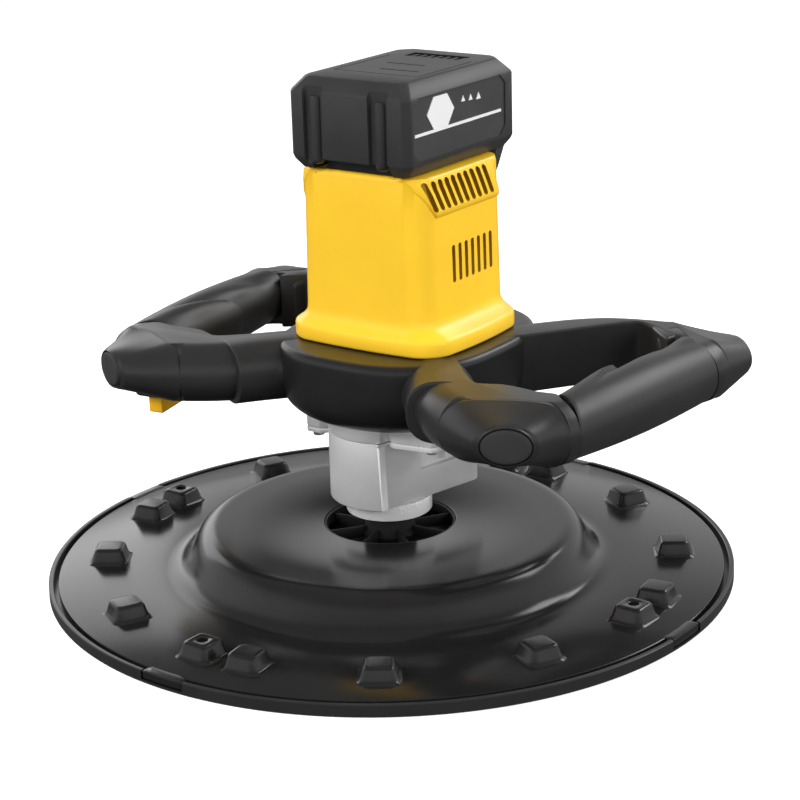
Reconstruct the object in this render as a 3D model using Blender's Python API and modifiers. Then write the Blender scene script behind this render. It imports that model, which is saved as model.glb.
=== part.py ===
"""Battery power trowel with two D handles, as an assembly of separate pieces.

Units are metres. The origin is on the floor under the output spindle, +Z is up, the
handles lie on the -X and +X sides, and the motor stands behind the spindle, at +Y.
"""

import math

import bmesh
import bpy
from mathutils import Matrix, Vector

# Clearance between touching pieces.
GAP = 0.0003

# Trowel disc.
DISC_RADIUS = 0.200
PLATE_THICKNESS = 0.0015
RIM_WIDTH = 0.0029
RIM_TOP = 0.0073
PAN_RADIUS = DISC_RADIUS - 2 * RIM_WIDTH
PAN_TOP = 0.0070
DOME_TOP = 0.030
DOME_RADIUS = 0.105
DOME_FOOT_RADIUS = 0.128
DOME_WALL = 0.0032
PAN_HOLE_RADIUS = 0.0385
TAB_ANGLES = [math.radians(-2 + 90 * k) for k in range(4)]
TAB_HALF_ANGLE = math.radians(4)
STUD_CIRCLE = 0.166
STUD_BASE = 0.0105
STUD_TIP = 0.0068
STUD_HEIGHT = 0.0157
STUD_OFFSETS = [math.radians(a) for a in (0, 10, 35, 65)]
DISC_STEPS = 64

# Axes in plan, and the two spur stages between the motor and the spindle.
MOTOR_Y = 0.022
FIRST_MODULE = 0.0008
FIRST_TEETH = (9, 34)
SECOND_MODULE = 0.001
SECOND_TEETH = (10, 36)
FIRST_DISTANCE = FIRST_MODULE * sum(FIRST_TEETH) / 2
SECOND_DISTANCE = SECOND_MODULE * sum(SECOND_TEETH) / 2
LAY_Y = (SECOND_DISTANCE**2 - FIRST_DISTANCE**2 + MOTOR_Y**2) / (2 * MOTOR_Y)
LAY_X = -math.sqrt(SECOND_DISTANCE**2 - LAY_Y**2)
SPINDLE = (0.0, 0.0)
MOTOR = (0.0, MOTOR_Y)
LAY = (LAY_X, LAY_Y)

# Heights of the drive, from the hub up.
HUB_TOP = 0.0372
COLLAR = (0.0376, 0.0442)
COLLAR_RADIUS = 0.025
CASTING = (0.0446, 0.088)
CASTING_FLOOR = 0.060
CASTING_WALL = 0.0035
CASTING_RADIUS = 0.034
FLAT_DISTANCE = 0.023
FLAT_HEADING = math.radians(-14)
FLANGE_SCREWS = [(0.0385, -0.0220), (-0.0385, -0.0220), (0.0400, 0.0600), (-0.0390, 0.0600)]
COVER = (0.0883, 0.0925)
SHAFT_RADIUS = 0.0075
LAY_SHAFT_RADIUS = 0.003
MOTOR_SHAFT_RADIUS = 0.004

# Black body, seen from above a rounded superellipse.
BODY_CENTRE = (-0.0005, 0.023)
BODY_HALF = (0.067, 0.0735)
BODY_POWER = 2.6
BODY_FLOOR = 0.093
BODY_TOP = 0.140
BODY_WALL = 0.003

# Yellow hood over the motor.
HOOD_CENTRE = (0.001, 0.0235)
HOOD_HALF = (0.042, 0.0445)
HOOD_TOP = 0.240
HOOD_WALL = 0.0025

# Battery pack.
PACK_X = 0.040
PACK_Y = (-0.028, 0.0798)
PACK_SPLIT = 0.2485
PACK_TOP = 0.2924

# Handles. The grips spread by this angle towards +Y, and both are alike by mirroring.
GRIP_ANGLE = math.atan2(0.0105, 0.09)
GRIP_MIDDLE = (0.1505, 0.022, 0.123)
GRIP_HALF = 0.060
GRIP_CORE = 0.0145
GRIP_BORE = GRIP_CORE + GAP
GRIP_END_RADIUS = 0.0172
GRIP_BULGE = 0.0021
CAP_HALF = (0.0138, 0.0098)

# Trigger, as distances along the left grip from its middle, and heights.
TRIGGER_PIVOT = (0.0025, 0.0960)
SPRING_DISTANCE = -0.0420
SPRING_WIRE = 0.0004

PARTS = None
TOOLS = None


def clear_scene():
    for item in list(bpy.data.objects):
        bpy.data.objects.remove(item, do_unlink=True)


def make_collection(name):
    group = bpy.data.collections.new(name)
    bpy.context.scene.collection.children.link(group)
    return group


def make_finish(name, colour, roughness, metallic=0.0):
    finish = bpy.data.materials.new(name)
    finish.use_nodes = True
    shader = finish.node_tree.nodes["Principled BSDF"]
    shader.inputs["Base Color"].default_value = (*colour, 1.0)
    shader.inputs["Roughness"].default_value = roughness
    shader.inputs["Metallic"].default_value = metallic
    return finish


def add_part(name, mesh, finish):
    """Puts a mesh in the scene as one named piece, shaded smooth except at its edges."""
    mesh.name = name
    part = bpy.data.objects.new(name, mesh)
    PARTS.objects.link(part)
    mesh.materials.clear()
    mesh.materials.append(finish)
    mesh.shade_smooth()
    mesh.set_sharp_from_angle(angle=math.radians(35))
    return part


def make_cutter(part):
    """Moves a piece to the cutters, which are neither built nor rendered."""
    PARTS.objects.unlink(part)
    TOOLS.objects.link(part)
    part.hide_render = True
    part.display_type = "WIRE"
    return part


def boolean(part, other, operation="DIFFERENCE"):
    step = part.modifiers.new(other.name, "BOOLEAN")
    step.operation = operation
    step.object = other
    return part


def mesh_from(bm, name):
    bmesh.ops.recalc_face_normals(bm, faces=bm.faces)
    mesh = bpy.data.meshes.new(name)
    bm.to_mesh(mesh)
    bm.free()
    return mesh


def box(name, low, high, finish, turn=None):
    """A block between two corners, turned about Z at the point turn[0] by the angle turn[1]."""
    bm = bmesh.new()
    size = Vector(high) - Vector(low)
    middle = (Vector(high) + Vector(low)) / 2
    frame = Matrix.Translation(middle) @ Matrix.Diagonal((*size, 1))
    if turn:
        pivot = Matrix.Translation(turn[0])
        frame = pivot @ Matrix.Rotation(turn[1], 4, "Z") @ pivot.inverted() @ frame
    bmesh.ops.create_cube(bm, size=1, matrix=frame)
    return add_part(name, mesh_from(bm, name), finish)


def boxes(name, corners, finish):
    """Several blocks in one cutter."""
    bm = bmesh.new()
    for low, high, tilt in corners:
        size = Vector(high) - Vector(low)
        middle = (Vector(high) + Vector(low)) / 2
        frame = Matrix.Translation(middle) @ Matrix.Rotation(tilt, 4, "Y") @ Matrix.Diagonal((*size, 1))
        bmesh.ops.create_cube(bm, size=1, matrix=frame)
    return add_part(name, mesh_from(bm, name), finish)


def rod(name, radius, low, high, finish, centre=(0, 0), sides=24):
    bm = bmesh.new()
    place = Matrix.Translation((*centre, (low + high) / 2))
    bmesh.ops.create_cone(
        bm, cap_ends=True, segments=sides, radius1=radius, radius2=radius, depth=high - low, matrix=place
    )
    return add_part(name, mesh_from(bm, name), finish)


def turned(name, profile, finish, centre=(0, 0), steps=32):
    """A turned piece through (radius, height) points. It closes on itself where it misses the axis."""
    bm = bmesh.new()
    points = [bm.verts.new((radius, 0, height)) for radius, height in profile]
    hollow = min(radius for radius, _ in profile) > 0
    ends = points[1:] + points[:1] if hollow else points[1:]
    for start, end in zip(points, ends):
        bm.edges.new((start, end))
    mesh = bpy.data.meshes.new(name)
    bm.to_mesh(mesh)
    bm.free()
    part = add_part(name, mesh, finish)
    part.location = (*centre, 0)
    screw = part.modifiers.new("Turn", "SCREW")
    screw.steps = steps
    screw.render_steps = steps
    screw.use_merge_vertices = True
    screw.merge_threshold = 0.00001
    screw.use_smooth_shade = True
    return part


def ring(name, inner, outer, low, high, finish, centre=(0, 0), steps=32):
    profile = [(outer, high), (outer, low), (inner, low), (inner, high)]
    return turned(name, profile, finish, centre, steps)


def settle_curve(name, path, finish):
    """Turns a curve object into a piece."""
    TOOLS.objects.link(path)
    bpy.context.view_layer.update()
    graph = bpy.context.evaluated_depsgraph_get()
    mesh = bpy.data.meshes.new_from_object(path.evaluated_get(graph))
    bm = bmesh.new()
    bm.from_mesh(mesh)
    bmesh.ops.remove_doubles(bm, verts=bm.verts, dist=0.000002)
    bmesh.ops.recalc_face_normals(bm, faces=bm.faces)
    bm.to_mesh(mesh)
    bm.free()
    part = add_part(name, mesh, finish)
    part.matrix_world = path.matrix_world
    bpy.data.objects.remove(path)
    return part


def prism(name, loops, low, high, finish):
    """A flat outline, with any inner loops as holes, given its thickness along Z."""
    curve = bpy.data.curves.new(name, "CURVE")
    curve.dimensions = "2D"
    curve.fill_mode = "BOTH"
    curve.extrude = (high - low) / 2
    for loop in loops:
        spline = curve.splines.new("POLY")
        spline.points.add(len(loop) - 1)
        for point, (x, y) in zip(spline.points, loop):
            point.co = (x, y, 0, 1)
        spline.use_cyclic_u = True
    outline = bpy.data.objects.new(name + "_outline", curve)
    outline.location = (0, 0, (low + high) / 2)
    return settle_curve(name, outline, finish)


def loft(name, rings, finish, closed=False):
    """A skin through rings of equal point count, capped at both ends or joined end to end."""
    bm = bmesh.new()
    rows = [[bm.verts.new(point) for point in points] for points in rings]
    pairs = list(zip(rows, rows[1:]))
    if closed:
        pairs.append((rows[-1], rows[0]))
    count = len(rows[0])
    for first, second in pairs:
        for k in range(count):
            after = (k + 1) % count
            bm.faces.new((first[k], first[after], second[after], second[k]))
    if not closed:
        bm.faces.new(rows[0])
        bm.faces.new(rows[-1])
    return add_part(name, mesh_from(bm, name), finish)


def superellipse(centre, half, power, height, count=40):
    points = []
    for k in range(count):
        turn = 2 * math.pi * k / count
        c = math.cos(turn)
        s = math.sin(turn)
        x = half[0] * math.copysign(abs(c) ** (2 / power), c)
        y = half[1] * math.copysign(abs(s) ** (2 / power), s)
        points.append((centre[0] + x, centre[1] + y, height))
    return points


def rounded_box_ring(centre, half, radius, height, bow=0.0, arc=5):
    """A rectangle with round corners in plan. Its sides can bow outwards by a small amount."""
    corners = ((1, 1, 0), (-1, 1, 90), (-1, -1, 180), (1, -1, 270))
    points = []
    for sx, sy, start in corners:
        for k in range(arc):
            turn = math.radians(start + 90 * k / (arc - 1))
            x = sx * (half[0] - radius) + radius * math.cos(turn)
            y = sy * (half[1] - radius) + radius * math.sin(turn)
            x += math.copysign(bow * (1 - (y / half[1]) ** 2), x)
            y += math.copysign(bow * (1 - (x / half[0]) ** 2), y)
            points.append((centre[0] + x, centre[1] + y, height))
    return points


def circle(centre, radius, count=32, start=0.0, stop=2 * math.pi, whole=True):
    steps = count if whole else count - 1
    turns = [start + (stop - start) * k / steps for k in range(count)]
    return [(centre[0] + radius * math.cos(t), centre[1] + radius * math.sin(t)) for t in turns]


def involute(angle):
    return math.tan(angle) - angle


def gear_outline(centre, module, teeth, addendum, phase, play=0.12):
    """Involute teeth at 20 degrees, with one tooth centred on the phase angle."""
    pitch = module * teeth / 2
    base = pitch * math.cos(math.radians(20))
    tip = pitch + addendum * module
    root = pitch - 1.2 * module
    half = (math.pi / 2 - play) / teeth + involute(math.radians(20))
    radii = [max(root, base + 0.00001), pitch, tip]
    flank = [(r, half - involute(math.acos(base / r))) for r in radii]
    if base - root > 0.0003:
        flank.insert(0, (root, flank[0][1]))
    points = []
    for k in range(teeth):
        middle = phase + 2 * math.pi * k / teeth
        for r, spread in flank:
            turn = middle - spread
            points.append((centre[0] + r * math.cos(turn), centre[1] + r * math.sin(turn)))
        for r, spread in reversed(flank):
            turn = middle + spread
            points.append((centre[0] + r * math.cos(turn), centre[1] + r * math.sin(turn)))
    return points


def mirrored(points):
    return [(-x, y, z) for x, y, z in reversed(points)]


# Trowel disc ------------------------------------------------------------------------


def sector(angle, half_angle, inner, outer, low, high, name):
    """A block over part of a ring, used to cut or to join the rim's gaps and tabs."""
    outside = circle(SPINDLE, outer, 5, angle - half_angle, angle + half_angle, whole=False)
    inside = circle(SPINDLE, inner, 5, angle + half_angle, angle - half_angle, whole=False)
    return prism(name, [outside + inside], low, high, None)


def make_trowel_plate(finish):
    inner = DISC_RADIUS - RIM_WIDTH
    profile = [
        (0, PLATE_THICKNESS),
        (inner, PLATE_THICKNESS),
        (inner, RIM_TOP),
        (DISC_RADIUS - 0.0006, RIM_TOP),
        (DISC_RADIUS, RIM_TOP - 0.0008),
        (DISC_RADIUS, 0.0005),
        (DISC_RADIUS - 0.0006, 0),
        (0, 0),
    ]
    plate = turned("trowel_plate", profile, finish, steps=DISC_STEPS)
    for k, angle in enumerate(TAB_ANGLES):
        reach = DISC_RADIUS + 0.002
        gap = sector(angle, TAB_HALF_ANGLE + 0.002, PAN_RADIUS, reach, 0.0022, 0.012, f"rim_gap_{k}")
        boolean(plate, make_cutter(gap))
    return plate


def pan_profile():
    outside = [
        (PAN_HOLE_RADIUS, DOME_TOP),
        (DOME_RADIUS - 0.001, DOME_TOP),
        (0.1100, 0.0285),
        (0.1140, 0.0240),
        (0.1185, 0.0130),
        (0.1225, 0.0085),
        (DOME_FOOT_RADIUS, PAN_TOP),
        (PAN_RADIUS, PAN_TOP),
        (PAN_RADIUS, PLATE_THICKNESS + GAP),
    ]
    inside = [
        (0.1215, PLATE_THICKNESS + GAP),
        (0.1155, 0.0095),
        (0.1100, 0.0225),
        (DOME_RADIUS - 0.001, DOME_TOP - DOME_WALL),
        (PAN_HOLE_RADIUS, DOME_TOP - DOME_WALL),
    ]
    return outside + inside


def make_stud(name, angle):
    """A blunt square spike that points away from the disc, standing on the pan's flat ring."""
    rings = []
    for half, height, round_by in (
        (STUD_BASE + 0.0006, PAN_TOP - 0.001, 0.003),
        (STUD_TIP + 0.0008, STUD_HEIGHT - 0.001, 0.002),
        (STUD_TIP, STUD_HEIGHT, 0.0015),
    ):
        flat = rounded_box_ring((0, 0), (half, half), round_by, height, arc=2)
        frame = Matrix.Rotation(angle, 3, "Z")
        rings.append([frame @ (Vector(p) + Vector((STUD_CIRCLE, 0, 0))) for p in flat])
    return loft(name, rings, None)


def make_float_pan(finish):
    pan = turned("float_pan", pan_profile(), finish, steps=DISC_STEPS)
    for k, angle in enumerate(TAB_ANGLES):
        low = PLATE_THICKNESS + 2 * GAP + 0.0005
        reach = DISC_RADIUS - 0.0006
        tab = sector(angle, TAB_HALF_ANGLE - 0.001, PAN_RADIUS - 0.004, reach, low, 0.0072, f"tab_{k}")
        boolean(pan, make_cutter(tab), "UNION")
        for j, offset in enumerate(STUD_OFFSETS):
            boolean(pan, make_cutter(make_stud(f"stud_{k}_{j}", angle + offset)), "UNION")
        well = rod(f"screw_well_{k}", 0.0031, 0.0005, 0.030, None, stud_place(angle), 16)
        boolean(pan, make_cutter(well))
    return pan


def stud_place(angle):
    return (STUD_CIRCLE * math.cos(angle), STUD_CIRCLE * math.sin(angle))


def make_pan_screws(finish):
    for k, angle in enumerate(TAB_ANGLES):
        rod(f"pan_screw_{k + 1}", 0.0026, PLATE_THICKNESS + GAP, 0.0125, finish, stud_place(angle), 16)


def make_drive_hub(finish):
    """Spoked hub that carries the pan, below the spindle collar."""
    profile = [
        (0.0140, HUB_TOP),
        (0.0140, 0.0262),
        (0.0520, 0.0262),
        (0.0520, 0.0232),
        (0.0165, 0.0232),
        (0.0165, PLATE_THICKNESS + GAP),
        (0.0100, PLATE_THICKNESS + GAP),
        (0.0100, 0.0120),
        (SHAFT_RADIUS + GAP, 0.0120),
        (SHAFT_RADIUS + GAP, HUB_TOP),
    ]
    hub = turned("drive_hub", profile, finish)
    windows = []
    for k in range(8):
        middle = math.radians(22.5 + 45 * k)
        half = math.radians(17.5)
        outside = circle(SPINDLE, 0.0375, 5, middle - half, middle + half, whole=False)
        inside = circle(SPINDLE, 0.0180, 3, middle + half * 0.72, middle - half * 0.72, whole=False)
        windows.append(outside + inside)
    boolean(hub, make_cutter(prism("hub_windows", windows, 0.020, 0.030, None)))
    return hub


def make_hub_bolt(finish):
    profile = [
        (0, 0.030),
        (0.0040, 0.030),
        (0.0040, 0.0115),
        (0.0090, 0.0115),
        (0.0090, 0.0050),
        (0, 0.0050),
    ]
    return turned("hub_bolt", profile, finish, steps=24)


# Gearbox ----------------------------------------------------------------------------


def make_spindle(finish):
    profile = [
        (0, 0.0865),
        (SHAFT_RADIUS - 0.0006, 0.0865),
        (SHAFT_RADIUS, 0.0858),
        (SHAFT_RADIUS, COLLAR[1]),
        (COLLAR_RADIUS - 0.0008, COLLAR[1]),
        (COLLAR_RADIUS, COLLAR[1] - 0.0008),
        (COLLAR_RADIUS, COLLAR[0] + 0.0006),
        (COLLAR_RADIUS - 0.0006, COLLAR[0]),
        (SHAFT_RADIUS, COLLAR[0]),
        (SHAFT_RADIUS, 0.0124),
        (0.0043, 0.0124),
        (0.0043, 0.0320),
        (0, 0.0335),
    ]
    return turned("output_spindle", profile, finish)


def make_output_gear(finish):
    phase = math.atan2(LAY[1], LAY[0])
    teeth = gear_outline(SPINDLE, SECOND_MODULE, SECOND_TEETH[1], 0.55, phase)
    bore = circle(SPINDLE, SHAFT_RADIUS + GAP, 32)
    return prism("output_gear", [teeth, bore], 0.0612, 0.0702, finish)


def make_lay_shaft(finish):
    """Intermediate shaft, turned in one piece with the small gear of the second stage."""
    phase = math.atan2(LAY[1], LAY[0]) + math.pi + math.pi / SECOND_TEETH[0]
    teeth = gear_outline(LAY, SECOND_MODULE, SECOND_TEETH[0], 0.8, phase)
    shaft = prism("intermediate_shaft", [teeth], 0.0608, 0.0712, finish)
    core = rod("intermediate_core", LAY_SHAFT_RADIUS, 0.0525, 0.0862, None, LAY, 20)
    return boolean(shaft, make_cutter(core), "UNION")


def make_lay_gear(finish):
    phase = math.atan2(LAY[1] - MOTOR[1], LAY[0] - MOTOR[0]) + math.pi + math.pi / FIRST_TEETH[1]
    teeth = gear_outline(LAY, FIRST_MODULE, FIRST_TEETH[1], 0.5, phase)
    bore = circle(LAY, LAY_SHAFT_RADIUS + GAP, 20)
    return prism("intermediate_gear", [teeth, bore], 0.0726, 0.0786, finish)


def hull_outline(inset):
    """Casting outline in plan: a round nose about the spindle, a flat on the +X side, a rounded tail."""
    nose_radius = CASTING_RADIUS - inset
    turn = FLAT_HEADING - math.acos((FLAT_DISTANCE - inset) / nose_radius)
    nose = circle(SPINDLE, nose_radius, 17, turn, math.radians(-177.5), whole=False)
    bulge = circle(LAY, 0.0185 - inset, 3, math.radians(182.5), math.radians(174), whole=False)
    left = circle((-0.0180, 0.0430), 0.0167 - inset, 7, math.radians(174), math.radians(92), whole=False)
    right = circle((0.0285, 0.0517), 0.0080 - inset, 5, math.radians(88), FLAT_HEADING, whole=False)
    return nose + bulge + left + right


def lug_outline(place):
    """A rounded ear that reaches from inside the casting out round one screw."""
    out = math.atan2(place[1] - 0.014, place[0])
    arc = circle(place, 0.0064, 7, out - math.pi / 2, out + math.pi / 2, whole=False)
    back = [(place[0] - 0.020 * math.cos(out), place[1] - 0.020 * math.sin(out))]
    foot = circle(back[0], 0.0100, 2, out + math.pi / 2, out - math.pi / 2, whole=False)
    return arc + foot


def add_lugs(part, low, high):
    for k, place in enumerate(FLANGE_SCREWS):
        lug = prism(f"{part.name}_lug_{k}", [lug_outline(place)], low, high, None)
        boolean(part, make_cutter(lug), "UNION")


def drill(part, holes, sides=24):
    """Round holes, each a name, a radius, a lower and an upper height, and a place in plan."""
    for name, radius, low, high, place in holes:
        boolean(part, make_cutter(rod(name, radius, low, high, None, place, sides)))


def drill_screws(part, radius, low, high):
    holes = [(f"{part.name}_hole_{k}", radius, low, high, place) for k, place in enumerate(FLANGE_SCREWS)]
    drill(part, holes, 12)


def make_casting(finish):
    casting = prism("gearbox_casting", [hull_outline(0.0)], *CASTING, finish)
    add_lugs(casting, 0.0835, CASTING[1])
    hollow = prism("casting_hollow", [hull_outline(CASTING_WALL)], CASTING_FLOOR, 0.095, None)
    boolean(casting, make_cutter(hollow))
    holes = [
        ("seal_bore", 0.0120, 0.040, 0.0505, SPINDLE),
        ("spindle_bearing_bore", 0.0143, 0.0503, 0.062, SPINDLE),
        ("lay_bearing_bore", 0.0066, 0.0520, 0.062, LAY),
    ]
    drill(casting, holes)
    drill_screws(casting, 0.0024, 0.080, 0.095)
    return casting


def make_cover(finish):
    """Plate that closes the casting and holds the upper bearings."""
    cover = prism("gearbox_cover", [hull_outline(0.0)], *COVER, finish)
    add_lugs(cover, *COVER)
    for name, radius, low, high, place in (
        ("spindle_boss", 0.0150, 0.0795, 0.0890, SPINDLE),
        ("lay_boss", 0.0070, 0.0800, 0.0890, LAY),
        ("motor_boss", 0.0145, 0.0920, 0.1005, MOTOR),
    ):
        boolean(cover, make_cutter(rod(name, radius, low, high, None, place)), "UNION")
    holes = [
        ("spindle_pocket", 0.0123, 0.078, 0.0885, SPINDLE),
        ("lay_pocket", LAY_SHAFT_RADIUS + GAP, 0.078, 0.0885, LAY),
        ("motor_pocket", 0.0113, 0.0935, 0.102, MOTOR),
        ("motor_passage", 0.0052, 0.080, 0.102, MOTOR),
    ]
    drill(cover, holes)
    drill_screws(cover, 0.0024, 0.080, 0.095)
    return cover


def make_gearbox_screws(finish):
    for k, (x, y) in enumerate(FLANGE_SCREWS):
        profile = [
            (0, 0.1000),
            (0.0020, 0.1000),
            (0.0020, 0.0832),
            (0.0038, 0.0832),
            (0.0038, 0.0800),
            (0, 0.0800),
        ]
        turned(f"gearbox_screw_{k + 1}", profile, finish, (x, y), 12)


def make_bearings(finish, seal_finish):
    ring("spindle_seal", SHAFT_RADIUS + GAP, 0.0117, 0.0452, 0.0500, seal_finish)
    ring("spindle_lower_bearing", SHAFT_RADIUS + GAP, 0.0140, 0.0510, 0.0580, finish)
    ring("spindle_upper_bearing", SHAFT_RADIUS + GAP, 0.0120, 0.0800, 0.0860, finish)
    ring("intermediate_bearing", LAY_SHAFT_RADIUS + GAP, 0.0063, 0.0528, 0.0588, finish, LAY, 24)
    ring("motor_lower_bearing", MOTOR_SHAFT_RADIUS + GAP, 0.0110, 0.0940, 0.1000, finish, MOTOR, 24)
    ring("motor_upper_bearing", MOTOR_SHAFT_RADIUS + GAP, 0.0110, 0.1632, 0.1692, finish, MOTOR, 24)


# Motor ------------------------------------------------------------------------------


def make_motor(steel, copper, plastic):
    """Brushless motor: a toothed shaft, a magnet rotor, a fan and a wound stator, with its end bracket."""
    phase = math.atan2(LAY[1] - MOTOR[1], LAY[0] - MOTOR[0])
    teeth = gear_outline(MOTOR, FIRST_MODULE, FIRST_TEETH[0], 0.8, phase)
    shaft = prism("motor_shaft", [teeth], 0.0722, 0.0862, steel)
    core = rod("motor_core", MOTOR_SHAFT_RADIUS, 0.0862, 0.1700, None, MOTOR, 24)
    boolean(shaft, make_cutter(core), "UNION")
    ring("motor_rotor", MOTOR_SHAFT_RADIUS + GAP, 0.0180, 0.1200, 0.1500, steel, MOTOR)
    stator = ring("motor_stator", 0.0186, 0.0330, 0.1180, 0.1520, copper, MOTOR)
    slots = [box_at_angle(f"stator_slot_{k}", math.radians(60 * k)) for k in range(6)]
    for slot in slots:
        boolean(stator, make_cutter(slot))
    fan = ring("motor_fan", MOTOR_SHAFT_RADIUS + GAP, 0.0290, 0.1045, 0.1065, plastic, MOTOR)
    for k in range(10):
        boolean(fan, make_cutter(fan_blade(f"fan_blade_{k}", math.radians(36 * k))), "UNION")
    can = [
        (0.0355, 0.1625),
        (0.0355, 0.1160),
        (0.0333, 0.1160),
        (0.0333, 0.1575),
        (0.0060, 0.1575),
        (0.0060, 0.1620),
        (0.0113, 0.1620),
        (0.0113, 0.1700),
        (0.0150, 0.1700),
        (0.0150, 0.1625),
    ]
    return turned("motor_can", can, plastic, MOTOR)


def box_at_angle(name, angle):
    pivot = (MOTOR[0], MOTOR[1], 0)
    low = (MOTOR[0] + 0.0150, MOTOR[1] - 0.0012, 0.110)
    high = (MOTOR[0] + 0.0290, MOTOR[1] + 0.0012, 0.160)
    return box(name, low, high, None, turn=(pivot, angle))


def fan_blade(name, angle):
    pivot = (MOTOR[0], MOTOR[1], 0)
    low = (MOTOR[0] + 0.0120, MOTOR[1] - 0.0006, 0.1055)
    high = (MOTOR[0] + 0.0280, MOTOR[1] + 0.0006, 0.1145)
    return box(name, low, high, None, turn=(pivot, angle))


# Housing ----------------------------------------------------------------------------


def body_ring(inset, height):
    half = (BODY_HALF[0] - inset, BODY_HALF[1] - inset)
    return superellipse(BODY_CENTRE, half, BODY_POWER, height)


def make_body_shell(finish):
    """Black housing that carries the handles, with a floor over the gearbox and a mouth for the motor."""
    outside = [
        body_ring(0.0170, BODY_FLOOR),
        body_ring(0.0080, BODY_FLOOR + 0.0020),
        body_ring(0.0030, BODY_FLOOR + 0.0060),
        body_ring(0.0003, BODY_FLOOR + 0.0140),
        body_ring(0.0, BODY_TOP - 0.0020),
        body_ring(0.0020, BODY_TOP),
    ]
    mouth = [superellipse(HOOD_CENTRE, (0.0385, 0.0405), 4, z) for z in (BODY_TOP, BODY_TOP - BODY_WALL)]
    inside = [
        body_ring(BODY_WALL + 0.001, BODY_TOP - BODY_WALL),
        body_ring(BODY_WALL + 0.0010, BODY_FLOOR + 0.0120),
        body_ring(0.0075, BODY_FLOOR + 0.0060),
        body_ring(0.0170, BODY_FLOOR + 0.0030),
    ]
    body = loft("body_shell", outside + mouth + inside, finish)
    for k, place in enumerate(FLANGE_SCREWS):
        boss = rod(f"body_boss_{k}", 0.0050, BODY_FLOOR + 0.0020, 0.1030, None, place, 12)
        boolean(body, make_cutter(boss), "UNION")
    drill(body, [("body_passage", 0.0150, 0.080, 0.102, MOTOR)])
    drill_screws(body, 0.0024, 0.080, 0.1008)
    return body


def hood_ring(grow, height, bow=0.0008, grow_depth=None):
    depth = grow if grow_depth is None else grow_depth
    half = (HOOD_HALF[0] + grow, HOOD_HALF[1] + depth)
    return rounded_box_ring(HOOD_CENTRE, half, 0.0100, height, bow)


def hood_side_bulge(name, side):
    """Raised louvre panel high on one side of the hood, leaning in towards the battery."""
    rings = []
    for y, reach in ((-0.0110, 0.15), (-0.0070, 1.0), (0.0550, 1.0), (0.0590, 0.15)):
        profile = [(0.0360, 0.2165), (0.0415, 0.2165), (0.0418 + 0.0035 * reach, 0.2185)]
        profile += [(0.0412 + 0.0020 * reach, 0.2300), (0.0395, 0.2385), (0.0360, 0.2385)]
        rings.append([(HOOD_CENTRE[0] + side * x, y, z) for x, z in profile])
    return loft(name, rings, None)


def hood_vents():
    slots = []
    for side in (-1, 1):
        wall = HOOD_CENTRE[0] + side * HOOD_HALF[0]
        for k in range(7):
            y = 0.0135 + 0.0064 * k
            slots.append(((wall - 0.006, y - 0.0013, 0.177), (wall + 0.006, y + 0.0013, 0.198), 0))
        for k in range(10):
            y = -0.0050 + 0.0062 * k
            slots.append(((wall - 0.007, y - 0.0013, 0.2195), (wall + 0.008, y + 0.0013, 0.2350), 0))
    return boxes("vent_slots", slots, None)


def make_hood(finish):
    low = BODY_TOP + GAP
    inside = [
        hood_ring(-HOOD_WALL - 0.0012, HOOD_TOP - HOOD_WALL),
        hood_ring(-HOOD_WALL, low),
    ]
    outside = [
        hood_ring(0.0065, low, 0.0016, 0.0020),
        hood_ring(0.0065, low + 0.0085, 0.0016, 0.0020),
        hood_ring(0.0012, low + 0.0145, 0.0010, 0.0006),
        hood_ring(0.0, low + 0.0165, 0.0008),
        hood_ring(-0.0012, HOOD_TOP - 0.0015),
        hood_ring(-0.0026, HOOD_TOP),
    ]
    hood = loft("motor_hood", inside + outside, finish)
    for side in (-1, 1):
        boolean(hood, make_cutter(hood_side_bulge(f"bulge_{side + 1}", side)), "UNION")
    heights = (0.200, HOOD_TOP - HOOD_WALL - 0.0002)
    core = loft("hood_core", [hood_ring(-HOOD_WALL - 0.0010, z) for z in heights], None)
    boolean(hood, make_cutter(core))
    return boolean(hood, make_cutter(hood_vents()))


def make_controller(board_finish):
    return box("controller_board", (-0.030, -0.010, 0.2000), (0.030, 0.055, 0.2016), board_finish)


def make_shoe(finish, metal):
    """Rail on top of the hood that the battery slides onto, with its terminal block."""
    low = HOOD_TOP + GAP
    neck = box("battery_shoe", (-0.022, -0.0180, low), (0.022, 0.058, low + 0.0036), finish)
    head = box("shoe_head", (-0.026, -0.0180, low + 0.0033), (0.026, 0.058, low + 0.0058), None)
    boolean(neck, make_cutter(head), "UNION")
    top = low + 0.0058 + GAP
    terminals = box("battery_terminals", (-0.012, -0.004, top), (0.012, 0.020, top + 0.0006), metal)
    return neck, terminals


# Battery ----------------------------------------------------------------------------


def pack_ring(inset, height, chamfer=0.0065):
    """Battery outline in plan: a rectangle with cut corners."""
    x = PACK_X - inset
    y0 = PACK_Y[0] + inset
    y1 = PACK_Y[1] - inset
    c = chamfer
    outline = [(x, y0 + c), (x, y1 - c), (x - c, y1), (-x + c, y1), (-x, y1 - c), (-x, y0 + c), (-x + c, y0)]
    return [(px, py, height) for px, py in outline + [(x - c, y0)]]


def make_battery_case(finish):
    wall = 0.0025
    inside = [
        pack_ring(wall + 0.004, PACK_TOP - wall),
        pack_ring(wall, PACK_TOP - wall - 0.004),
        pack_ring(wall, PACK_SPLIT),
    ]
    outside = [
        pack_ring(0.0, PACK_SPLIT),
        pack_ring(0.0, PACK_TOP - 0.0075),
        pack_ring(0.0062, PACK_TOP),
    ]
    case = loft("battery_case", inside + outside, finish)
    pocket = box("button_pocket", (-0.0123, 0.0740, 0.2440), (0.0123, 0.0850, 0.2660), None)
    return boolean(case, make_cutter(pocket))


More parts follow.
